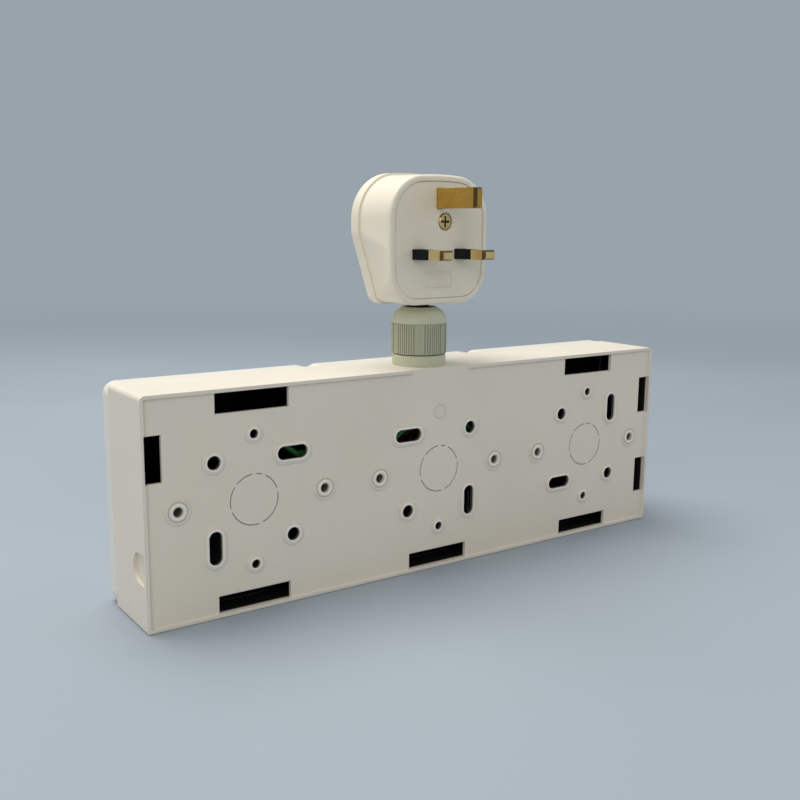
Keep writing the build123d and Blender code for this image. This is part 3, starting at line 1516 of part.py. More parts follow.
def make_link(side, terminal_x, drop_z, upward):
    """Link wire from a terminal of the middle socket to the same terminal of the next one."""
    near_x = terminal_x + side * terminal_way_pitch
    far_x = terminal_x + side * (gang_pitch - terminal_way_pitch)
    face_z = terminal_top_z + wire_end_gap if upward else terminal_low_z - wire_end_gap
    swing = side * link_swing
    points = [
        (near_x, terminal_y, face_z),
        (near_x, terminal_y, drop_z),
        (near_x + swing, link_lane_y, drop_z),
    ]
    if upward:
        points[2] = (near_x + swing, link_lane_y, drop_z - earth_link_dip)
        points.append((near_x + 3 * swing, link_lane_y, earth_lane_z))
    far = [(near_x + far_x - px, py, pz) for px, py, pz in reversed(points)]
    return make_wire(points + far, socket_bare_end, socket_bare_end)


links = (
    ("live_links", -terminal_pitch, live_lane_z, False),
    ("neutral_links", terminal_pitch, neutral_lane_z, False),
    ("earth_links", 0, terminal_z + earth_link_rise, True),
)
for link_name, link_x, link_z, link_upward in links:
    with BuildPart() as link_pair:
        for link_side in (-1, 1):
            add(make_link(link_side, link_x, link_z, link_upward))
    save(link_pair.part, link_name)
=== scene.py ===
import math

import bpy
from mathutils import Matrix, Vector


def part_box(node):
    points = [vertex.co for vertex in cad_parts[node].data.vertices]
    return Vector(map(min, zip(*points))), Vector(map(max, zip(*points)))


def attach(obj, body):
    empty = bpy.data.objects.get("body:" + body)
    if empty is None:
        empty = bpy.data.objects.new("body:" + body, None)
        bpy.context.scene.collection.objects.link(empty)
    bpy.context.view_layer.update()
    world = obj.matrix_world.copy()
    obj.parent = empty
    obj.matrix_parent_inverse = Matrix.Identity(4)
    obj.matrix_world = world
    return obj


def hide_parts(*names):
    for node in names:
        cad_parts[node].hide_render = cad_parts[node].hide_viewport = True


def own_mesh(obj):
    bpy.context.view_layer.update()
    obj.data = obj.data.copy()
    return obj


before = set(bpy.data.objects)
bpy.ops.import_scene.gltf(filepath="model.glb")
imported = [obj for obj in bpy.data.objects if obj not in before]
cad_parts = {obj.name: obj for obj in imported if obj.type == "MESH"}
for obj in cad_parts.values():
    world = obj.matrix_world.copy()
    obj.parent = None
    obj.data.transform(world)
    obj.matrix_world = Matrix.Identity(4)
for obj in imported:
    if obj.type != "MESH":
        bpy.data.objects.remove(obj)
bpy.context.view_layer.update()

# The box stands on its long narrow side on a pale blue grey table, with its back to the lens.
# The lens is a normal one as high as the plug, left of the box, and looks down on it.
CAMERA_PLACE = (-0.2436, -0.3338, 0.1452)
CAMERA_YAW = math.radians(-35.01)
CAMERA_DOWN = math.radians(10.33)
CAMERA_ROLL = math.radians(0.55)
LENS_MM = 44.01
SENSOR_MM = 36.0

camera = bpy.data.objects.new("camera", bpy.data.cameras.new("camera"))
camera.data.lens = LENS_MM
camera.data.sensor_width = SENSOR_MM
camera.data.clip_start = 0.01
right = Vector((math.cos(CAMERA_YAW), math.sin(CAMERA_YAW), 0))
level = Vector((-math.sin(CAMERA_YAW), math.cos(CAMERA_YAW), 0))
ahead = level * math.cos(CAMERA_DOWN) - Vector((0, 0, math.sin(CAMERA_DOWN)))
above = level * math.sin(CAMERA_DOWN) + Vector((0, 0, math.cos(CAMERA_DOWN)))
side = right * math.cos(CAMERA_ROLL) + above * math.sin(CAMERA_ROLL)
top = above * math.cos(CAMERA_ROLL) - right * math.sin(CAMERA_ROLL)
camera.matrix_world = Matrix.Translation(CAMERA_PLACE) @ Matrix((side, top, -ahead)).transposed().to_4x4()
bpy.context.scene.collection.objects.link(camera)
bpy.context.scene.camera = camera
bpy.context.scene.view_settings.view_transform = "Standard"

# The light is one wide soft source overhead, with a weaker one to the left of the lens and
# a faint one from the box's far end, in a room of nearly white walls.
for lamp_name, place, aim, size, watts, tint in (
    ("overhead", (-0.20, 0.34, 1.15), (0, 0, 0.05), 0.9, 13.0, (1.0, 0.985, 0.945)),
    ("beside_the_lens", (-0.95, -0.85, 0.75), (0, 0, 0.06), 0.9, 4.0, (1.0, 0.99, 0.97)),
    ("far_side", (1.1, -0.35, 0.55), (0, 0, 0.06), 0.7, 1.5, (0.96, 0.98, 1.0)),
):
    lamp = bpy.data.objects.new(lamp_name, bpy.data.lights.new(lamp_name, "AREA"))
    lamp.data.shape = "SQUARE"
    lamp.data.size = size
    lamp.data.energy = watts
    lamp.data.color = tint
    lamp.location = place
    lamp.rotation_euler = (Vector(aim) - Vector(place)).to_track_quat("-Z", "Y").to_euler()
    bpy.context.scene.collection.objects.link(lamp)


class Value:
    """A node's output, so that a sum on it is written as a sum."""

    def __init__(self, nodes, socket):
        self.nodes = nodes
        self.socket = socket

    def maths(self, operation, *values):
        return self.nodes.node("ShaderNodeMath", {"operation": operation}, dict(enumerate(values)))

    def __add__(self, other):
        return self.maths("ADD", self, other)

    def __sub__(self, other):
        return self.maths("SUBTRACT", self, other)

    def __rsub__(self, other):
        return self.maths("SUBTRACT", other, self)

    def __mul__(self, other):
        return self.maths("MULTIPLY", self, other)

    def __pow__(self, other):
        return self.maths("POWER", self, other)

    def __abs__(self):
        return self.maths("ABSOLUTE", self)

    __radd__ = __add__

    def over(self, low, high):
        """0 where the value is under low, 1 where it is over high, and a smooth ramp between."""
        settings = {"interpolation_type": "SMOOTHSTEP"}
        values = {"Value": self, "From Min": low, "From Max": high}
        return self.nodes.node("ShaderNodeMapRange", settings, values)

    def under(self, high, soft):
        """1 where the value is under high, and a ramp of this width down to 0 past it."""
        return 1 - self.over(high, high + soft)

    def between(self, low, high, soft):
        """1 where the value lies from low to high, with a ramp of this width at each end."""
        return self.over(low - soft, low) * self.under(high, soft)


class Nodes:
    """A node tree that grows by calls."""

    def __init__(self, tree):
        self.tree = tree

    def node(self, kind, settings=None, values=None, output=0):
        made = self.tree.nodes.new(kind)
        for name, value in (settings or {}).items():
            setattr(made, name, value)
        for name, value in (values or {}).items():
            self.feed(made.inputs[name], value)
        return Value(self, made.outputs[output])

    def feed(self, socket, value):
        if isinstance(value, Value):
            self.tree.links.new(value.socket, socket)
        else:
            socket.default_value = value

    def seen(self):
        """1 for what the lens sees, straight, mirrored in gloss or through something clear."""
        rays = ("Is Camera Ray", "Is Glossy Ray", "Is Transmission Ray")
        first, second, third = (self.node("ShaderNodeLightPath", output=ray) for ray in rays)
        return first + second + third


class Finish(Nodes):
    """A material of one Principled shader, with the nodes that feed it."""

    def __init__(self, name, **plain):
        self.material = bpy.data.materials.new(name)
        self.material.use_nodes = True
        super().__init__(self.material.node_tree)
        self.shader = self.tree.nodes["Principled BSDF"]
        for socket, value in plain.items():
            self.shader.inputs[socket.replace("_", " ")].default_value = value

    def give(self, **values):
        for name, value in values.items():
            self.feed(self.shader.inputs[name.replace("_", " ")], value)

    def place(self, stretch=(1, 1, 1), turn=(0, 0, 0)):
        """The point of the piece in metres, stretched and turned before a texture reads it."""
        point = self.node("ShaderNodeTexCoord", output="Object")
        return self.node("ShaderNodeMapping", {}, {"Vector": point, "Scale": stretch, "Rotation": turn})

    def dot(self, first, second):
        settings = {"operation": "DOT_PRODUCT"}
        return self.node("ShaderNodeVectorMath", settings, {0: first, 1: second}, output="Value")

    def along(self, direction):
        """How far the point lies along a direction, in millimetres."""
        return self.dot(self.place(), tuple(1000 * part for part in direction))

    def noise(self, scale, place, detail=2.0, roughness=0.5):
        values = {"Vector": place, "Scale": scale, "Detail": detail, "Roughness": roughness}
        return self.node("ShaderNodeTexNoise", {}, values)

    def mix(self, share, first, second):
        values = {0: share, 6: first, 7: second}
        return self.node("ShaderNodeMix", {"data_type": "RGBA"}, values, output=2)

    def corner(self, radius):
        """1 on a sharp edge, falling to 0 at this distance from it, and the normal that rounds it."""
        rounded = self.node("ShaderNodeBevel", {"samples": 4}, {"Radius": radius})
        facing = self.node("ShaderNodeNewGeometry", output="Normal")
        return (1 - self.dot(rounded, facing)).over(0.004, 0.12), rounded

    def rough(self, height, distance, strength, normal=None):
        values = {"Height": height, "Distance": distance, "Strength": strength}
        if normal:
            values["Normal"] = normal
        return self.node("ShaderNodeBump", {}, values)

    def on(self, *names):
        """Give the finish to CAD nodes, or to a piece made here."""
        for name in names:
            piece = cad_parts[name] if isinstance(name, str) else name
            for slot in piece.material_slots:
                slot.material = self.material


# The table is a wide flat sheet of painted board, before a wall of the same pale paint.
# Far from the box the table takes on the wall's plain tone, so no line parts them,
# and round the box it is lit as any surface and keeps the shadow.
TABLE_RADIUS = 3.0
TABLE_SIDES = 64
TABLE_DROP = 0.0002
TABLE_COLOUR = (0.310, 0.360, 0.410, 1)
TABLE_CLOUD = (0.345, 0.395, 0.445, 1)
WALL_COLOUR = (0.315, 0.365, 0.412, 1)
ROOM_COLOUR = (0.98, 0.99, 1.0, 1)
ROOM_STRENGTH = 0.44
FADE_FROM = 350
FADE_TO = 1500

bpy.context.scene.world = bpy.data.worlds.new("room")
bpy.context.scene.world.use_nodes = True
room = Nodes(bpy.context.scene.world.node_tree)
room_light = room.node("ShaderNodeBackground", {}, {"Color": ROOM_COLOUR, "Strength": ROOM_STRENGTH})
room_wall = room.node("ShaderNodeBackground", {}, {"Color": WALL_COLOUR, "Strength": 1.0})
room_view = room.node("ShaderNodeMixShader", {}, {0: room.seen(), 1: room_light, 2: room_wall})
room.feed(room.tree.nodes["World Output"].inputs["Surface"], room_view)

table_top = Finish("pale_table", Roughness=0.7)
table_cloud = table_top.noise(2.2, table_top.place(), 3.0)
table_grain = table_top.noise(420.0, table_top.place(), 2.0)
table_top.give(Base_Color=table_top.mix(table_cloud.over(0.3, 0.7), TABLE_COLOUR, TABLE_CLOUD))
table_top.give(Normal=table_top.rough(table_grain, 0.00006, 0.3))
reach = (table_top.along((1, 0, 0)) ** 2 + table_top.along((0, 1, 0)) ** 2) ** 0.5
table_lit = Value(table_top, table_top.shader.outputs[0])
table_wall = table_top.node("ShaderNodeEmission", {}, {"Color": WALL_COLOUR, "Strength": 1.0})
table_share = reach.over(FADE_FROM, FADE_TO) * table_top.seen()
table_view = table_top.node("ShaderNodeMixShader", {}, {0: table_share, 1: table_lit, 2: table_wall})
table_top.feed(table_top.tree.nodes["Material Output"].inputs["Surface"], table_view)
turns = [step * math.tau / TABLE_SIDES for step in range(TABLE_SIDES)]
outline = [(TABLE_RADIUS * math.cos(turn), TABLE_RADIUS * math.sin(turn), -TABLE_DROP) for turn in turns]
table_mesh = bpy.data.meshes.new("table")
table_mesh.from_pydata(outline, [], [list(range(TABLE_SIDES))])
table_mesh.materials.append(table_top.material)
table = bpy.data.objects.new("table", table_mesh)
bpy.context.scene.collection.objects.link(table)


# The back box is one injection moulding in off-white urea, open at the front.
# Its faces keep the fine grain of the mould, its edges are rubbed lighter by handling,
# and a thin film of dust dulls it unevenly. Inside, its walls, holes and pilots are darkened with painted
# shade.
FLECK = (0.30, 0.27, 0.22, 1)
MOULDED_EDGE = 0.0005


def moulded(name, body, deep, worn, grain=0.00002, gloss=0.36, dark=None):
    finish = Finish(name, IOR=1.5, Specular_IOR_Level=0.45)
    cloud = finish.noise(22.0, finish.place(), 4.0, 0.55)
    film = finish.noise(9.0, finish.place((1, 1, 2.2)), 5.0, 0.6)
    fleck = finish.noise(900.0, finish.place(), 1.0)
    mould_grain = finish.noise(2600.0, finish.place(), 3.0, 0.6)
    hairline = finish.noise(160.0, finish.place((0.08, 1, 3.5), (0.2, 0.5, 0.9)), 2.0)
    scratch = (1 - abs(hairline - 0.5) * 60).over(0.2, 1.0) * cloud.over(0.5, 0.64)
    edge, rounded = finish.corner(MOULDED_EDGE)
    colour = finish.mix(cloud.over(0.30, 0.72) * 0.55, body, deep)
    colour = finish.mix(film.over(0.52, 0.75) * 0.20, colour, deep)
    colour = finish.mix(fleck.over(0.74, 0.80) * 0.30, colour, FLECK)
    colour = finish.mix(edge * 0.6, colour, worn)
    # Where dark is given, painted shade is mixed into the colour.
    if dark:
        share, shade = dark(finish)
        colour = finish.mix(share, colour, shade)
    sheen = gloss + film.over(0.35, 0.7) * 0.12 - edge * 0.06
    sheen = sheen + mould_grain.over(0.3, 0.7) * 0.05 + scratch * 0.10
    normal = finish.rough(mould_grain, grain, 0.35, rounded)
    normal = finish.rough(scratch, 0.00002, 0.25, normal)
    finish.give(Base_Color=colour, Roughness=sheen, Normal=normal)
    return finish


# Where the inside of the box begins, and where its knockouts and pilots lie, in millimetres,
# with how far past the panel's face a hole and a pilot begin and end to darken with painted shade.
GANG_PITCH = 86.0
MIDDLE_Z = 43.0
INNER_Y = -13.9
PANEL_Y = -15.2
INNER_X = 127.3
ENTRY_X = 128.2
INNER_LOW_Z = 1.1
INNER_HIGH_Z = 84.9
HOLES_REACH = 27.3
FIXING_X = 30.15
PILOT_RADIUS = 2.0
KNOCKOUT_RADIUS = 9.8
GROOVE_HALF = 0.5
WALL_SOFT = 0.2
HOLES_SOFT = 0.3
HOLE_DARKENS = (0.05, 0.3)
HOLE_SHARE = 0.9
GROOVE_LESS = 0.45
PILOT_DARKENS = (0.1, 1.0)
PILOT_SHARE = 0.7
INSIDE_SHADE = (0.014, 0.013, 0.011, 1)


# Painted shade: near black over the box's inner walls, over its holes past the panel's face and over its
# pilots.
def box_inside_painted_shade(finish):
    x, y, z = (finish.along(axis) for axis in ((1, 0, 0), (0, 1, 0), (0, 0, 1)))
    by_knockout = x.under(-1, 2) * z.under(MIDDLE_Z - 1, 2)
    by_entries = abs(x).under(ENTRY_X, WALL_SOFT) * (1 - by_knockout)
    in_walls = x.maths("MAXIMUM", by_entries, abs(x).under(INNER_X, WALL_SOFT))
    within = in_walls * z.between(INNER_LOW_Z, INNER_HIGH_Z, WALL_SOFT)
    gang_x = x.maths("WRAP", x, GANG_PITCH / 2, -GANG_PITCH / 2)
    rise = z - MIDDLE_Z
    from_middle = (gang_x * gang_x + rise * rise) ** 0.5
    from_pilot = ((abs(gang_x) - FIXING_X) ** 2 + rise * rise) ** 0.5
    groove = from_middle.between(KNOCKOUT_RADIUS - GROOVE_HALF, KNOCKOUT_RADIUS + GROOVE_HALF, 0.05)
    middle = abs(gang_x).under(HOLES_REACH, HOLES_SOFT) * abs(rise).under(HOLES_REACH, HOLES_SOFT)
    by_pilot = from_pilot.under(PILOT_RADIUS, 0.1)
    hollow = y.over(INNER_Y, INNER_Y + 0.5) * (1 - by_pilot)
    depth = y - PANEL_Y
    holes = middle * depth.over(*HOLE_DARKENS) * (HOLE_SHARE - groove * GROOVE_LESS)
    pilots = by_pilot * depth.over(*PILOT_DARKENS) * PILOT_SHARE
    sunk = hollow.maths("MAXIMUM", hollow, pilots)
    return within * sunk.maths("MAXIMUM", sunk, holes), INSIDE_SHADE


BOX_BODY = (0.800, 0.735, 0.622, 1)
BOX_DEEP = (0.755, 0.687, 0.570, 1)
BOX_WORN = (0.88, 0.855, 0.785, 1)
box_urea = moulded("box_urea", BOX_BODY, BOX_DEEP, BOX_WORN, dark=box_inside_painted_shade)
box_urea.on("back_box")

# Round each hole and slot of the box's back runs a low half round lip, moulded with the
# ring that it stands on, and a wider one round each fixing post's pilot.
LIP_FOOT_Y = -15.53
LIP_HEIGHT = 0.44
LIP_WIDTH = 1.0
PILOT_LIP_WIDTH = 1.3
LIP_STEPS = 8
HOLE_RADIUS = 2.6
HOLE_OFFSET = 16.1
SLOT_HALF = 3.8
SMALL_RADIUS = 1.7
SMALL_OFFSET = 25.05
# The lips are a lighter copy of the box's own urea: a painted highlight on their rounded tops.
LIP_LIT_BODY = (0.86, 0.83, 0.755, 1)
LIP_LIT_DEEP = (0.81, 0.775, 0.695, 1)
LIP_LIT_WORN = (0.92, 0.90, 0.84, 1)


def oval(across, rise, radius, half_x=0.0, half_z=0.0, steps=48):
    """Points and outward ways of a circle, or of a slot whose ends lie this far from its middle."""
    points = []
    for step in range(steps):
        turn = math.tau * (step + 0.5) / steps
        way = (math.cos(turn), math.sin(turn))
        shift = (math.copysign(half_x, way[0]), math.copysign(half_z, way[1]))
        spot = (across + shift[0] + radius * way[0], rise + shift[1] + radius * way[1])
        points.append((spot, way))
    return points


def piece_of(name, corners, faces):
    """A smooth mesh piece on the unit, from corners in millimetres."""
    mesh = bpy.data.meshes.new(name)
    mesh.from_pydata([Vector(corner) / 1000 for corner in corners], [], faces)
    mesh.shade_smooth()
    mesh.materials.append(None)
    piece = bpy.data.objects.new(name, mesh)
    bpy.context.scene.collection.objects.link(piece)
    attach(piece, "unit")
    return piece


def lips(name, paths, lift, width, height):
    """Closed half round beads, each along a path; lift sets a point and its height in space."""
    corners = []
    faces = []
    ring = LIP_STEPS + 1
    for path in paths:
        first = len(corners)
        for (across, rise), (way_x, way_z) in path:
            for step in range(ring):
                turn = math.pi * step / LIP_STEPS
                out = width / 2 * math.cos(turn)
                corners.append(lift(across + out * way_x, rise + out * way_z, height * math.sin(turn)))
        for spot in range(len(path)):
            here = first + spot * ring
            there = first + (spot + 1) % len(path) * ring
            for step in range(ring):
                after = (step + 1) % ring
                faces.append((here + step, here + after, there + after, there + step))
    return piece_of(name, corners, faces)


def on_back(across, rise, height):
    return across, LIP_FOOT_Y - height, rise


hole_lips = []
for gang_x, holes, level_slot, upright_slot in (
    (-GANG_PITCH, ((-1, 1), (1, -1)), (1, 1), (-1, -1)),
    (0.0, ((1, 1), (-1, -1)), (-1, 1), (1, -1)),
    (GANG_PITCH, ((-1, 1), (1, -1)), (-1, -1), (1, 1)),
):
    edge = HOLE_RADIUS + LIP_WIDTH / 2
    for way_x, way_z in holes:
        hole_lips.append(oval(gang_x + way_x * HOLE_OFFSET, MIDDLE_Z + way_z * HOLE_OFFSET, edge))
    for (way_x, way_z), half_x, half_z in ((level_slot, SLOT_HALF, 0.0), (upright_slot, 0.0, SLOT_HALF)):
        spot = (gang_x + way_x * HOLE_OFFSET, MIDDLE_Z + way_z * HOLE_OFFSET)
        hole_lips.append(oval(*spot, edge, half_x, half_z))
    # The middle gang has no small hole above.
    for way_z in (-1, 1) if gang_x else (-1,):
        spot = (gang_x, MIDDLE_Z + way_z * SMALL_OFFSET)
        hole_lips.append(oval(*spot, SMALL_RADIUS + LIP_WIDTH / 2, steps=32))
box_urea_lips_painted_highlight = moulded("box_urea_lips_painted_highlight", LIP_LIT_BODY, LIP_LIT_DEEP, LIP_LIT_WORN)
back_lips = lips("back_hole_lips", hole_lips, on_back, LIP_WIDTH, LIP_HEIGHT)
box_urea_lips_painted_highlight.on(back_lips)
pilot_lips = [
    oval(gang_x + way * FIXING_X, MIDDLE_Z, PILOT_RADIUS + PILOT_LIP_WIDTH / 2, steps=40)
    for gang_x in (-GANG_PITCH, 0.0, GANG_PITCH)
    for way in (-1, 1)
]
back_pilot_lips = lips("back_pilot_lips", pilot_lips, on_back, PILOT_LIP_WIDTH, LIP_HEIGHT)
box_urea_lips_painted_highlight.on(back_pilot_lips)

# The three socket plates stand side by side over the box, each one glossy urea moulding
# with apertures for the pins, and they are cleaner and brighter than the box.
GANGS = ("left", "middle", "right")


def each(stem):
    return [f"{stem}_{gang}" for gang in GANGS]


PLATE_INSIDE_Y = 23.5
PLATE_INSIDE_HALF = 40.7
PLATE_SOFT = 0.3
PLATE_BODY = (0.82, 0.785, 0.705, 1)
PLATE_DEEP = (0.78, 0.74, 0.655, 1)
PLATE_WORN = (0.88, 0.86, 0.80, 1)


# Painted shade: near black over the inside of each plate, behind its front face.
def plate_inside_painted_shade(finish):
    x, y, z = (finish.along(axis) for axis in ((1, 0, 0), (0, 1, 0), (0, 0, 1)))
    gang_x = x.maths("WRAP", x, GANG_PITCH / 2, -GANG_PITCH / 2)
    in_x = abs(gang_x).under(PLATE_INSIDE_HALF, PLATE_SOFT)
    in_z = abs(z - MIDDLE_Z).under(PLATE_INSIDE_HALF, PLATE_SOFT)
    return in_x * in_z * y.under(PLATE_INSIDE_Y, PLATE_SOFT), INSIDE_SHADE


plate_colours = (PLATE_BODY, PLATE_DEEP, PLATE_WORN)
plate_urea = moulded("plate_urea", *plate_colours, grain=0.00001, gloss=0.24, dark=plate_inside_painted_shade)
plate_urea.on(*each("socket_plate"))

# Beside the earth aperture of each plate stands a rocker in the same urea, turned on two
# trunnions, with a brass blade on its back that bridges the switch's two contacts.
ROCKER_BODY = (0.82, 0.80, 0.75, 1)
ROCKER_DEEP = (0.79, 0.765, 0.70, 1)
ROCKER_WORN = (0.87, 0.86, 0.82, 1)
rocker_urea = moulded("rocker_urea", ROCKER_BODY, ROCKER_DEEP, ROCKER_WORN, grain=0.00001, gloss=0.2)
rocker_urea.on(*each("rocker"))


# The blades, like the contacts, strips and terminals behind them, are stamped from rolled
# brass strip, with the streaks of the rolling, brown spots of age and bright sheared edges.
METAL_EDGE = 0.00025


def metal(name, bright, dull, spot, stretch, gloss=0.22, streaks=900.0, dark=None):
    finish = Finish(name, Metallic=1.0)
    rolled = finish.noise(streaks, finish.place(stretch), 3.0, 0.6)
    cloud = finish.noise(130.0, finish.place(), 4.0, 0.6)
    pits = finish.noise(1500.0, finish.place(), 2.0)
    edge, rounded = finish.corner(METAL_EDGE)
    colour = finish.mix(cloud.over(0.36, 0.70) * 0.7, bright, dull)
    colour = finish.mix(pits.over(0.66, 0.78) * cloud.over(0.45, 0.7) * 0.6, colour, spot)
    colour = finish.mix(edge * 0.5, colour, bright)
    if dark:
        colour = finish.mix(dark(finish), colour, spot)
    sheen = gloss + cloud.over(0.3, 0.75) * 0.16 + rolled.over(0.3, 0.7) * 0.09 - edge * 0.06
    normal = finish.rough(rolled, 0.00001, 0.30, rounded)
    finish.give(Base_Color=colour, Roughness=sheen, Normal=normal)
    return finish


BRASS_BRIGHT = (0.80, 0.58, 0.22, 1)
BRASS_DULL = (0.60, 0.40, 0.13, 1)
BRASS_SPOT = (0.10, 0.055, 0.02, 1)
BRASS = (BRASS_BRIGHT, BRASS_DULL, BRASS_SPOT)
strip_brass = metal("strip_brass", *BRASS, stretch=(1, 1, 0.06))
strip_brass.on(*each("switch_blade"), *each("earth_contact"), *each("neutral_contact"))
strip_brass.on(*each("live_contact"), *each("supply_strip"))

# A brass insert is pressed into the top of each fixing post, and nine terminal screws
# clamp the wires. Both are turned from brass bar, so their marks run round the axis.
turned_brass = metal("turned_brass", *BRASS, stretch=(1, 0.3, 1), gloss=0.2, streaks=1300.0)
turned_brass.on("fixing_inserts", "terminal_screws", "plug_terminal_screws")

# The plate screws, tapping screws and springs are steel with a thin zinc plating, blue grey
# and slightly cloudy, the screws turned and the springs drawn through a die.
ZINC_BRIGHT = (0.66, 0.67, 0.69, 1)
ZINC_DULL = (0.50, 0.51, 0.54, 1)
ZINC_SPOT = (0.16, 0.13, 0.11, 1)
zinc_steel = metal("zinc_steel", ZINC_BRIGHT, ZINC_DULL, ZINC_SPOT, stretch=(0.2, 1, 0.2), gloss=0.28)
zinc_steel.on("plate_screws", "housing_screws", "cord_grip_screws")


# Under each shutter stands a return spring of round zinc plated wire, five turns long. Its foot
# rests in the housing and its top under the shutter, which shortens it on the way down.
SPRING_TURNS = 5
WIRE_DIAMETER = 0.45
WIRE_SIDES = 10
TURN_STEPS = 36


def shutter_spring(gang):
    """A helix of round wire in the room of the CAD spring."""
    low, high = (1000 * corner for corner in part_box(f"shutter_spring_{gang}"))
    middle = (low + high) / 2
    wire_radius = WIRE_DIAMETER / 2
    radius = (high.x - low.x - WIRE_DIAMETER) / 2
    length = high.z - low.z
    rise = length - WIRE_DIAMETER
    steps = SPRING_TURNS * TURN_STEPS
    corners = []
    faces = []
    for step in range(steps + 1):
        turn = math.tau * step / TURN_STEPS
        out = Vector((math.cos(turn), math.sin(turn), 0))
        spot = Vector((middle.x, middle.y, low.z + wire_radius + rise * step / steps)) + radius * out
        for side in range(WIRE_SIDES):
            way = math.tau * side / WIRE_SIDES
            corners.append(spot + wire_radius * (math.cos(way) * out + Vector((0, 0, math.sin(way)))))
            if step < steps:
                here = step * WIRE_SIDES
                there = here + WIRE_SIDES
                after = (side + 1) % WIRE_SIDES
                faces.append((here + side, there + side, there + after, here + after))
    faces.append(tuple(range(WIRE_SIDES)))
    faces.append(tuple(steps * WIRE_SIDES + side for side in reversed(range(WIRE_SIDES))))
    spring = piece_of(f"spring_wire_{gang}", corners, faces)
    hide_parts(f"shutter_spring_{gang}")
    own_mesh(spring)
    return spring


for gang in GANGS:
    zinc_steel.on(shutter_spring(gang))

# Behind each plate a housing holds the contacts and the switch, moulded in black phenolic
# with the matt skin of its filler, and screwed to the plate by three ears.
PHENOLIC_BODY = (0.014, 0.013, 0.012, 1)
PHENOLIC_DEEP = (0.008, 0.008, 0.007, 1)
PHENOLIC_WORN = (0.035, 0.033, 0.031, 1)
phenolic_colours = (PHENOLIC_BODY, PHENOLIC_DEEP, PHENOLIC_WORN)
housing_phenolic = moulded("housing_phenolic", *phenolic_colours, grain=0.00003, gloss=0.5)
housing_phenolic.on(*each("socket_housing"))

# The shutter of each socket slides behind the live and neutral apertures. It is a small
# pale moulding in slippery nylon, as is the bar that grips the cord in the plug.
SHUTTER_BODY = (0.66, 0.64, 0.58, 1)
SHUTTER_DEEP = (0.60, 0.58, 0.51, 1)
SHUTTER_WORN = (0.74, 0.72, 0.67, 1)
shutter_nylon = moulded("shutter_nylon", SHUTTER_BODY, SHUTTER_DEEP, SHUTTER_WORN, gloss=0.34)
shutter_nylon.on(*each("shutter"), "cord_grip")


# The gland is grey green nylon: a threaded body through the top wall, a locknut inside and
# a ribbed dome nut that squeezes the seal. Painted shade darkens the grooves between the ribs.
GLAND_X = -1.0
GLAND_Y = -1.0
RIB_FOOT_RADIUS = 11.22
NUT_RADIUS = 11.6
RIBS_LOW_Z = 91.2
RIBS_HIGH_Z = 103.8
RIB_TOP_BARE = 0.08
RIB_SHADE_SHARE = 0.55
RIB_SHADE = (0.26, 0.27, 0.175, 1)
GLAND_BODY = (0.565, 0.575, 0.415, 1)
GLAND_DEEP = (0.51, 0.52, 0.365, 1)
GLAND_WORN = (0.66, 0.67, 0.52, 1)


# Painted shade: a dark olive in the grooves between the nut's ribs, not on their tops.
def rib_grooves_painted_shade(finish):
    x, y, z = (finish.along(axis) for axis in ((1, 0, 0), (0, 1, 0), (0, 0, 1)))
    radius = ((x - GLAND_X) ** 2 + (y - GLAND_Y) ** 2) ** 0.5
    sunk = 1 - radius.over(RIB_FOOT_RADIUS, NUT_RADIUS - RIB_TOP_BARE)
    return sunk * z.between(RIBS_LOW_Z, RIBS_HIGH_Z, 0.1) * RIB_SHADE_SHARE, RIB_SHADE


gland_colours = (GLAND_BODY, GLAND_DEEP, GLAND_WORN)
gland_nylon = moulded("gland_nylon", *gland_colours, grain=0.00003, gloss=0.42)
gland_nylon.on("gland_body", "gland_locknut")
nut_nylon = moulded("nut_nylon", *gland_colours, grain=0.00003, gloss=0.42, dark=rib_grooves_painted_shade)
nut_nylon.on("gland_nut")

# The plug is moulded in two halves of ivory urea, warmer than the box, with the
# base panel let into the cover and held by one brass screw.
PLUG_BODY = (0.88, 0.81, 0.665, 1)
PLUG_DEEP = (0.84, 0.765, 0.615, 1)
PLUG_WORN = (0.92, 0.885, 0.79, 1)
plug_urea = moulded("plug_urea", PLUG_BODY, PLUG_DEEP, PLUG_WORN, grain=0.00001, gloss=0.27)
plug_urea.on("plug_cover", "plug_base")

# On the base's face, under the live and neutral pins, a plain raised frame surrounds
# a bare field. It is moulded with the base.
PLUG_YAW = math.radians(3.5)
PLUG_AXIS_DEPTH = 13.0
PLUG_PANEL_DEPTH = 0.4
PLUG_PIN_Z = 132.4
FRAME_ACROSS = (-7.4, 6.7)
FRAME_RISE = (-13.1, -7.4)
FRAME_CORNER = 0.8
FRAME_WIDTH = 0.9
FRAME_HEIGHT = 0.38
FRAME_SUNK = 0.02


def on_plug(across, rise, height):
    """A point of the plug's face in the model's frame, this high above the face."""
    reach = PLUG_AXIS_DEPTH - PLUG_PANEL_DEPTH + height - FRAME_SUNK
    return (
        GLAND_X + across * math.cos(PLUG_YAW) + reach * math.sin(PLUG_YAW),
        GLAND_Y + across * math.sin(PLUG_YAW) - reach * math.cos(PLUG_YAW),
        PLUG_PIN_Z + rise,
    )


frame_path = oval(
    sum(FRAME_ACROSS) / 2,
    sum(FRAME_RISE) / 2,
    FRAME_CORNER,
    (FRAME_ACROSS[1] - FRAME_ACROSS[0]) / 2 - FRAME_CORNER,
    (FRAME_RISE[1] - FRAME_RISE[0]) / 2 - FRAME_CORNER,
)
face_frame = lips("plug_face_frame", [frame_path], on_plug, FRAME_WIDTH, FRAME_HEIGHT)
plug_urea.on(face_frame)

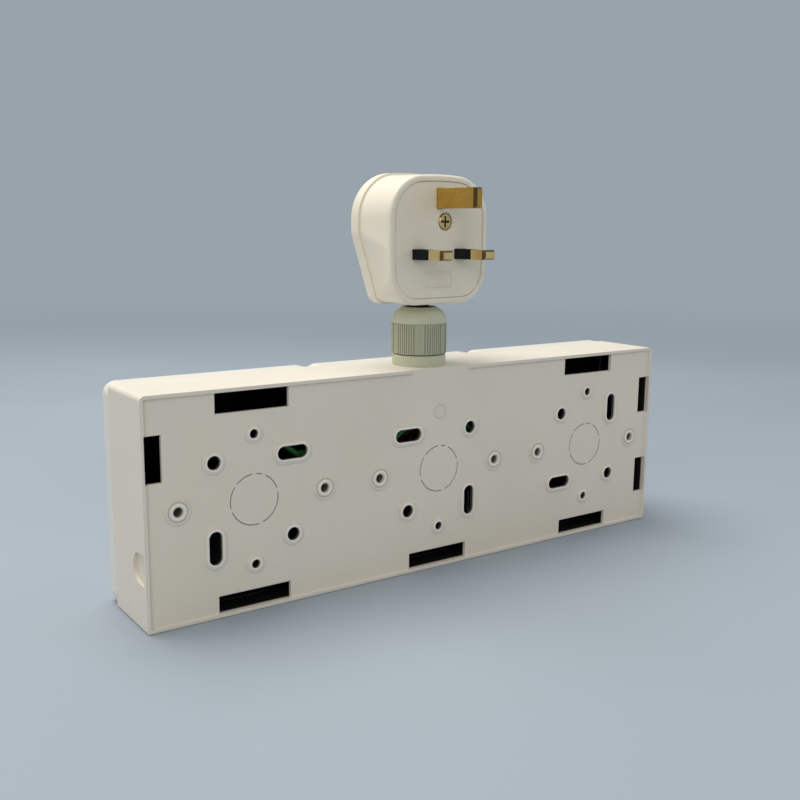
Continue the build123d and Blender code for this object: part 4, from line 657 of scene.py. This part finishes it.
# The pins are solid brass bar, drawn lengthwise and rubbed by the sockets that they have
# been in. Their ends are milled to a chamfer, which has gone brown.
PINS_WAY = (math.sin(PLUG_YAW), -math.cos(PLUG_YAW), 0)
AXIS_REACH = GLAND_X * PINS_WAY[0] + GLAND_Y * PINS_WAY[1]
EARTH_LENGTH = 22.7
FLAT_LENGTH = 17.7
CHAMFER_LENGTH = 1.6
TIP_BARE = 0.08
CHAMFER_SHARE = 0.9
# The earth pin's brass is painted darker and the flat pins' lighter: painted shade and painted light on
# one and the same brass.
EARTH_SHADED_BRIGHT = (0.66, 0.41, 0.095, 1)
EARTH_SHADED_DULL = (0.50, 0.29, 0.05, 1)
FLAT_LIT_BRIGHT = (0.97, 0.76, 0.36, 1)
FLAT_LIT_DULL = (0.84, 0.60, 0.23, 1)


def pin_metal(name, length, bright, dull):
    """Drawn brass, brown on the chamfer at the pin's end but not on its flat tip."""
    tip = AXIS_REACH + PLUG_AXIS_DEPTH + length

    def chamfer(finish):
        from_face = finish.along(PINS_WAY)
        return from_face.between(tip - CHAMFER_LENGTH, tip - TIP_BARE, 0.04) * CHAMFER_SHARE

    colours = (bright, dull, BRASS_SPOT)
    return metal(name, *colours, stretch=(1, 0.05, 1), gloss=0.2, streaks=1400.0, dark=chamfer)


earth_brass = pin_metal("earth_pin_brass", EARTH_LENGTH, EARTH_SHADED_BRIGHT, EARTH_SHADED_DULL)
earth_brass.on("earth_pin")
flat_brass = pin_metal("flat_pin_brass", FLAT_LENGTH, FLAT_LIT_BRIGHT, FLAT_LIT_DULL)
flat_brass.on("live_pin", "neutral_pin")

# One brass screw with a cross recess holds the base to the cover. Its head is polished
# and its recess is darkened with painted shade.
SCREW_HEAD_DEPTH = 0.75
RECESS_SOFT = 0.1
SCREW_BRIGHT = (0.88, 0.66, 0.28, 1)
SCREW_DULL = (0.70, 0.48, 0.17, 1)


# Painted shade in the cross recess, below the face of the head.
def recess_painted_shade(finish):
    head = AXIS_REACH + PLUG_AXIS_DEPTH - SCREW_HEAD_DEPTH
    return 1 - finish.along(PINS_WAY).over(head - RECESS_SOFT, head)


screw_colours = (SCREW_BRIGHT, SCREW_DULL, BRASS_SPOT)
screw_finish = {"stretch": (1, 0.3, 1), "gloss": 0.16, "streaks": 1400.0}
screw_brass = metal("plug_screw_brass", *screw_colours, **screw_finish, dark=recess_painted_shade)
screw_brass.on("plug_screw")


# The sleeves at the roots of the live and neutral pins are hard black nylon, moulded
# round the narrowed necks of the pins, with a dull skin.
SKIN_EDGE = 0.0002
SLEEVE_BODY = (0.002, 0.002, 0.0025, 1)
SLEEVE_FADED = (0.005, 0.005, 0.005, 1)


def soft_skin(name, body, faded, gloss, stretch):
    finish = Finish(name, IOR=1.5, Specular_IOR_Level=0.22)
    drawn = finish.noise(700.0, finish.place(stretch), 3.0)
    cloud = finish.noise(70.0, finish.place(), 4.0, 0.6)
    grain = finish.noise(3000.0, finish.place(), 2.0)
    edge, rounded = finish.corner(SKIN_EDGE)
    colour = finish.mix(cloud.over(0.35, 0.75) * 0.5 + edge * 0.3, body, faded)
    sheen = gloss + cloud.over(0.3, 0.7) * 0.12 + drawn.over(0.3, 0.7) * 0.08
    normal = finish.rough(drawn, 0.00003, 0.35, rounded)
    normal = finish.rough(grain, 0.00001, 0.3, normal)
    finish.give(Base_Color=colour, Roughness=sheen, Normal=normal)
    return finish


sleeve_nylon = soft_skin("sleeve_nylon", SLEEVE_BODY, SLEEVE_FADED, gloss=0.55, stretch=(1, 0.1, 1))
sleeve_nylon.on("live_sleeve", "neutral_sleeve")

# The fuse is a glazed ceramic tube with a plated cap pressed on each end. Its lower clip
# is the root of the live pin and its upper one is folded from brass strip.
GLAZE_BODY = (0.80, 0.78, 0.71, 1)
GLAZE_DEEP = (0.72, 0.69, 0.60, 1)
GLAZE_WORN = (0.84, 0.83, 0.78, 1)
NICKEL_BRIGHT = (0.70, 0.68, 0.64, 1)
NICKEL_DULL = (0.58, 0.56, 0.52, 1)
NICKEL_SPOT = (0.20, 0.17, 0.14, 1)
fuse_glaze = moulded("fuse_glaze", GLAZE_BODY, GLAZE_DEEP, GLAZE_WORN, grain=0.00001, gloss=0.18)
fuse_glaze.on("fuse_barrel")
strip_brass.on("fuse_clip")
nickel_colours = (NICKEL_BRIGHT, NICKEL_DULL, NICKEL_SPOT)
cap_nickel = metal("cap_nickel", *nickel_colours, stretch=(0.3, 0.3, 1), gloss=0.18)
cap_nickel.on("fuse_caps")

# The cable's jacket is matt black PVC with the lengthwise marks of its extrusion, and
# the seal that the gland's fingers press round it is black rubber.
JACKET_BODY = (0.010, 0.010, 0.011, 1)
JACKET_FADED = (0.030, 0.029, 0.028, 1)
SEAL_BODY = (0.008, 0.008, 0.008, 1)
SEAL_FADED = (0.022, 0.021, 0.020, 1)
jacket_pvc = soft_skin("jacket_pvc", JACKET_BODY, JACKET_FADED, gloss=0.45, stretch=(1, 1, 0.05))
jacket_pvc.on("cable_sheath")
seal_rubber = soft_skin("seal_rubber", SEAL_BODY, SEAL_FADED, gloss=0.6, stretch=(1, 1, 1))
seal_rubber.on("gland_seal")

# The cores and the links between the gangs are single wires in coloured insulation,
# brown for live, blue for neutral and green with a yellow stripe for earth.
BROWN_BODY = (0.055, 0.022, 0.010, 1)
BROWN_FADED = (0.08, 0.035, 0.016, 1)
BLUE_BODY = (0.02, 0.09, 0.30, 1)
BLUE_FADED = (0.04, 0.13, 0.38, 1)
GREEN_BODY = (0.008, 0.12, 0.02, 1)
GREEN_FADED = (0.014, 0.16, 0.032, 1)
YELLOW = (0.34, 0.31, 0.025, 1)
STRIPE_WAY = (0.0, 0.5, 0.86)
brown_skin = soft_skin("brown_skin", BROWN_BODY, BROWN_FADED, gloss=0.34, stretch=(0.2, 1, 0.2))
brown_skin.on("live_core", "live_links")
blue_skin = soft_skin("blue_skin", BLUE_BODY, BLUE_FADED, gloss=0.34, stretch=(0.2, 1, 0.2))
blue_skin.on("neutral_core", "neutral_links")

earth_skin = Finish("earth_skin", IOR=1.5)
earth_cloud = earth_skin.noise(90.0, earth_skin.place(), 3.0)
earth_facing = earth_skin.node("ShaderNodeNewGeometry", output="Normal")
earth_stripe = abs(earth_skin.dot(earth_facing, STRIPE_WAY)).over(0.90, 0.93)
earth_green = earth_skin.mix(earth_cloud.over(0.3, 0.7) * 0.5, GREEN_BODY, GREEN_FADED)
earth_colour = earth_skin.mix(earth_stripe, earth_green, YELLOW)
earth_skin.give(Base_Color=earth_colour, Roughness=0.30 + earth_cloud * 0.12)
earth_skin.give(Normal=earth_skin.rough(earth_cloud, 0.00004, 0.3))
earth_skin.on("earth_core", "earth_links")

bpy.context.view_layer.update()
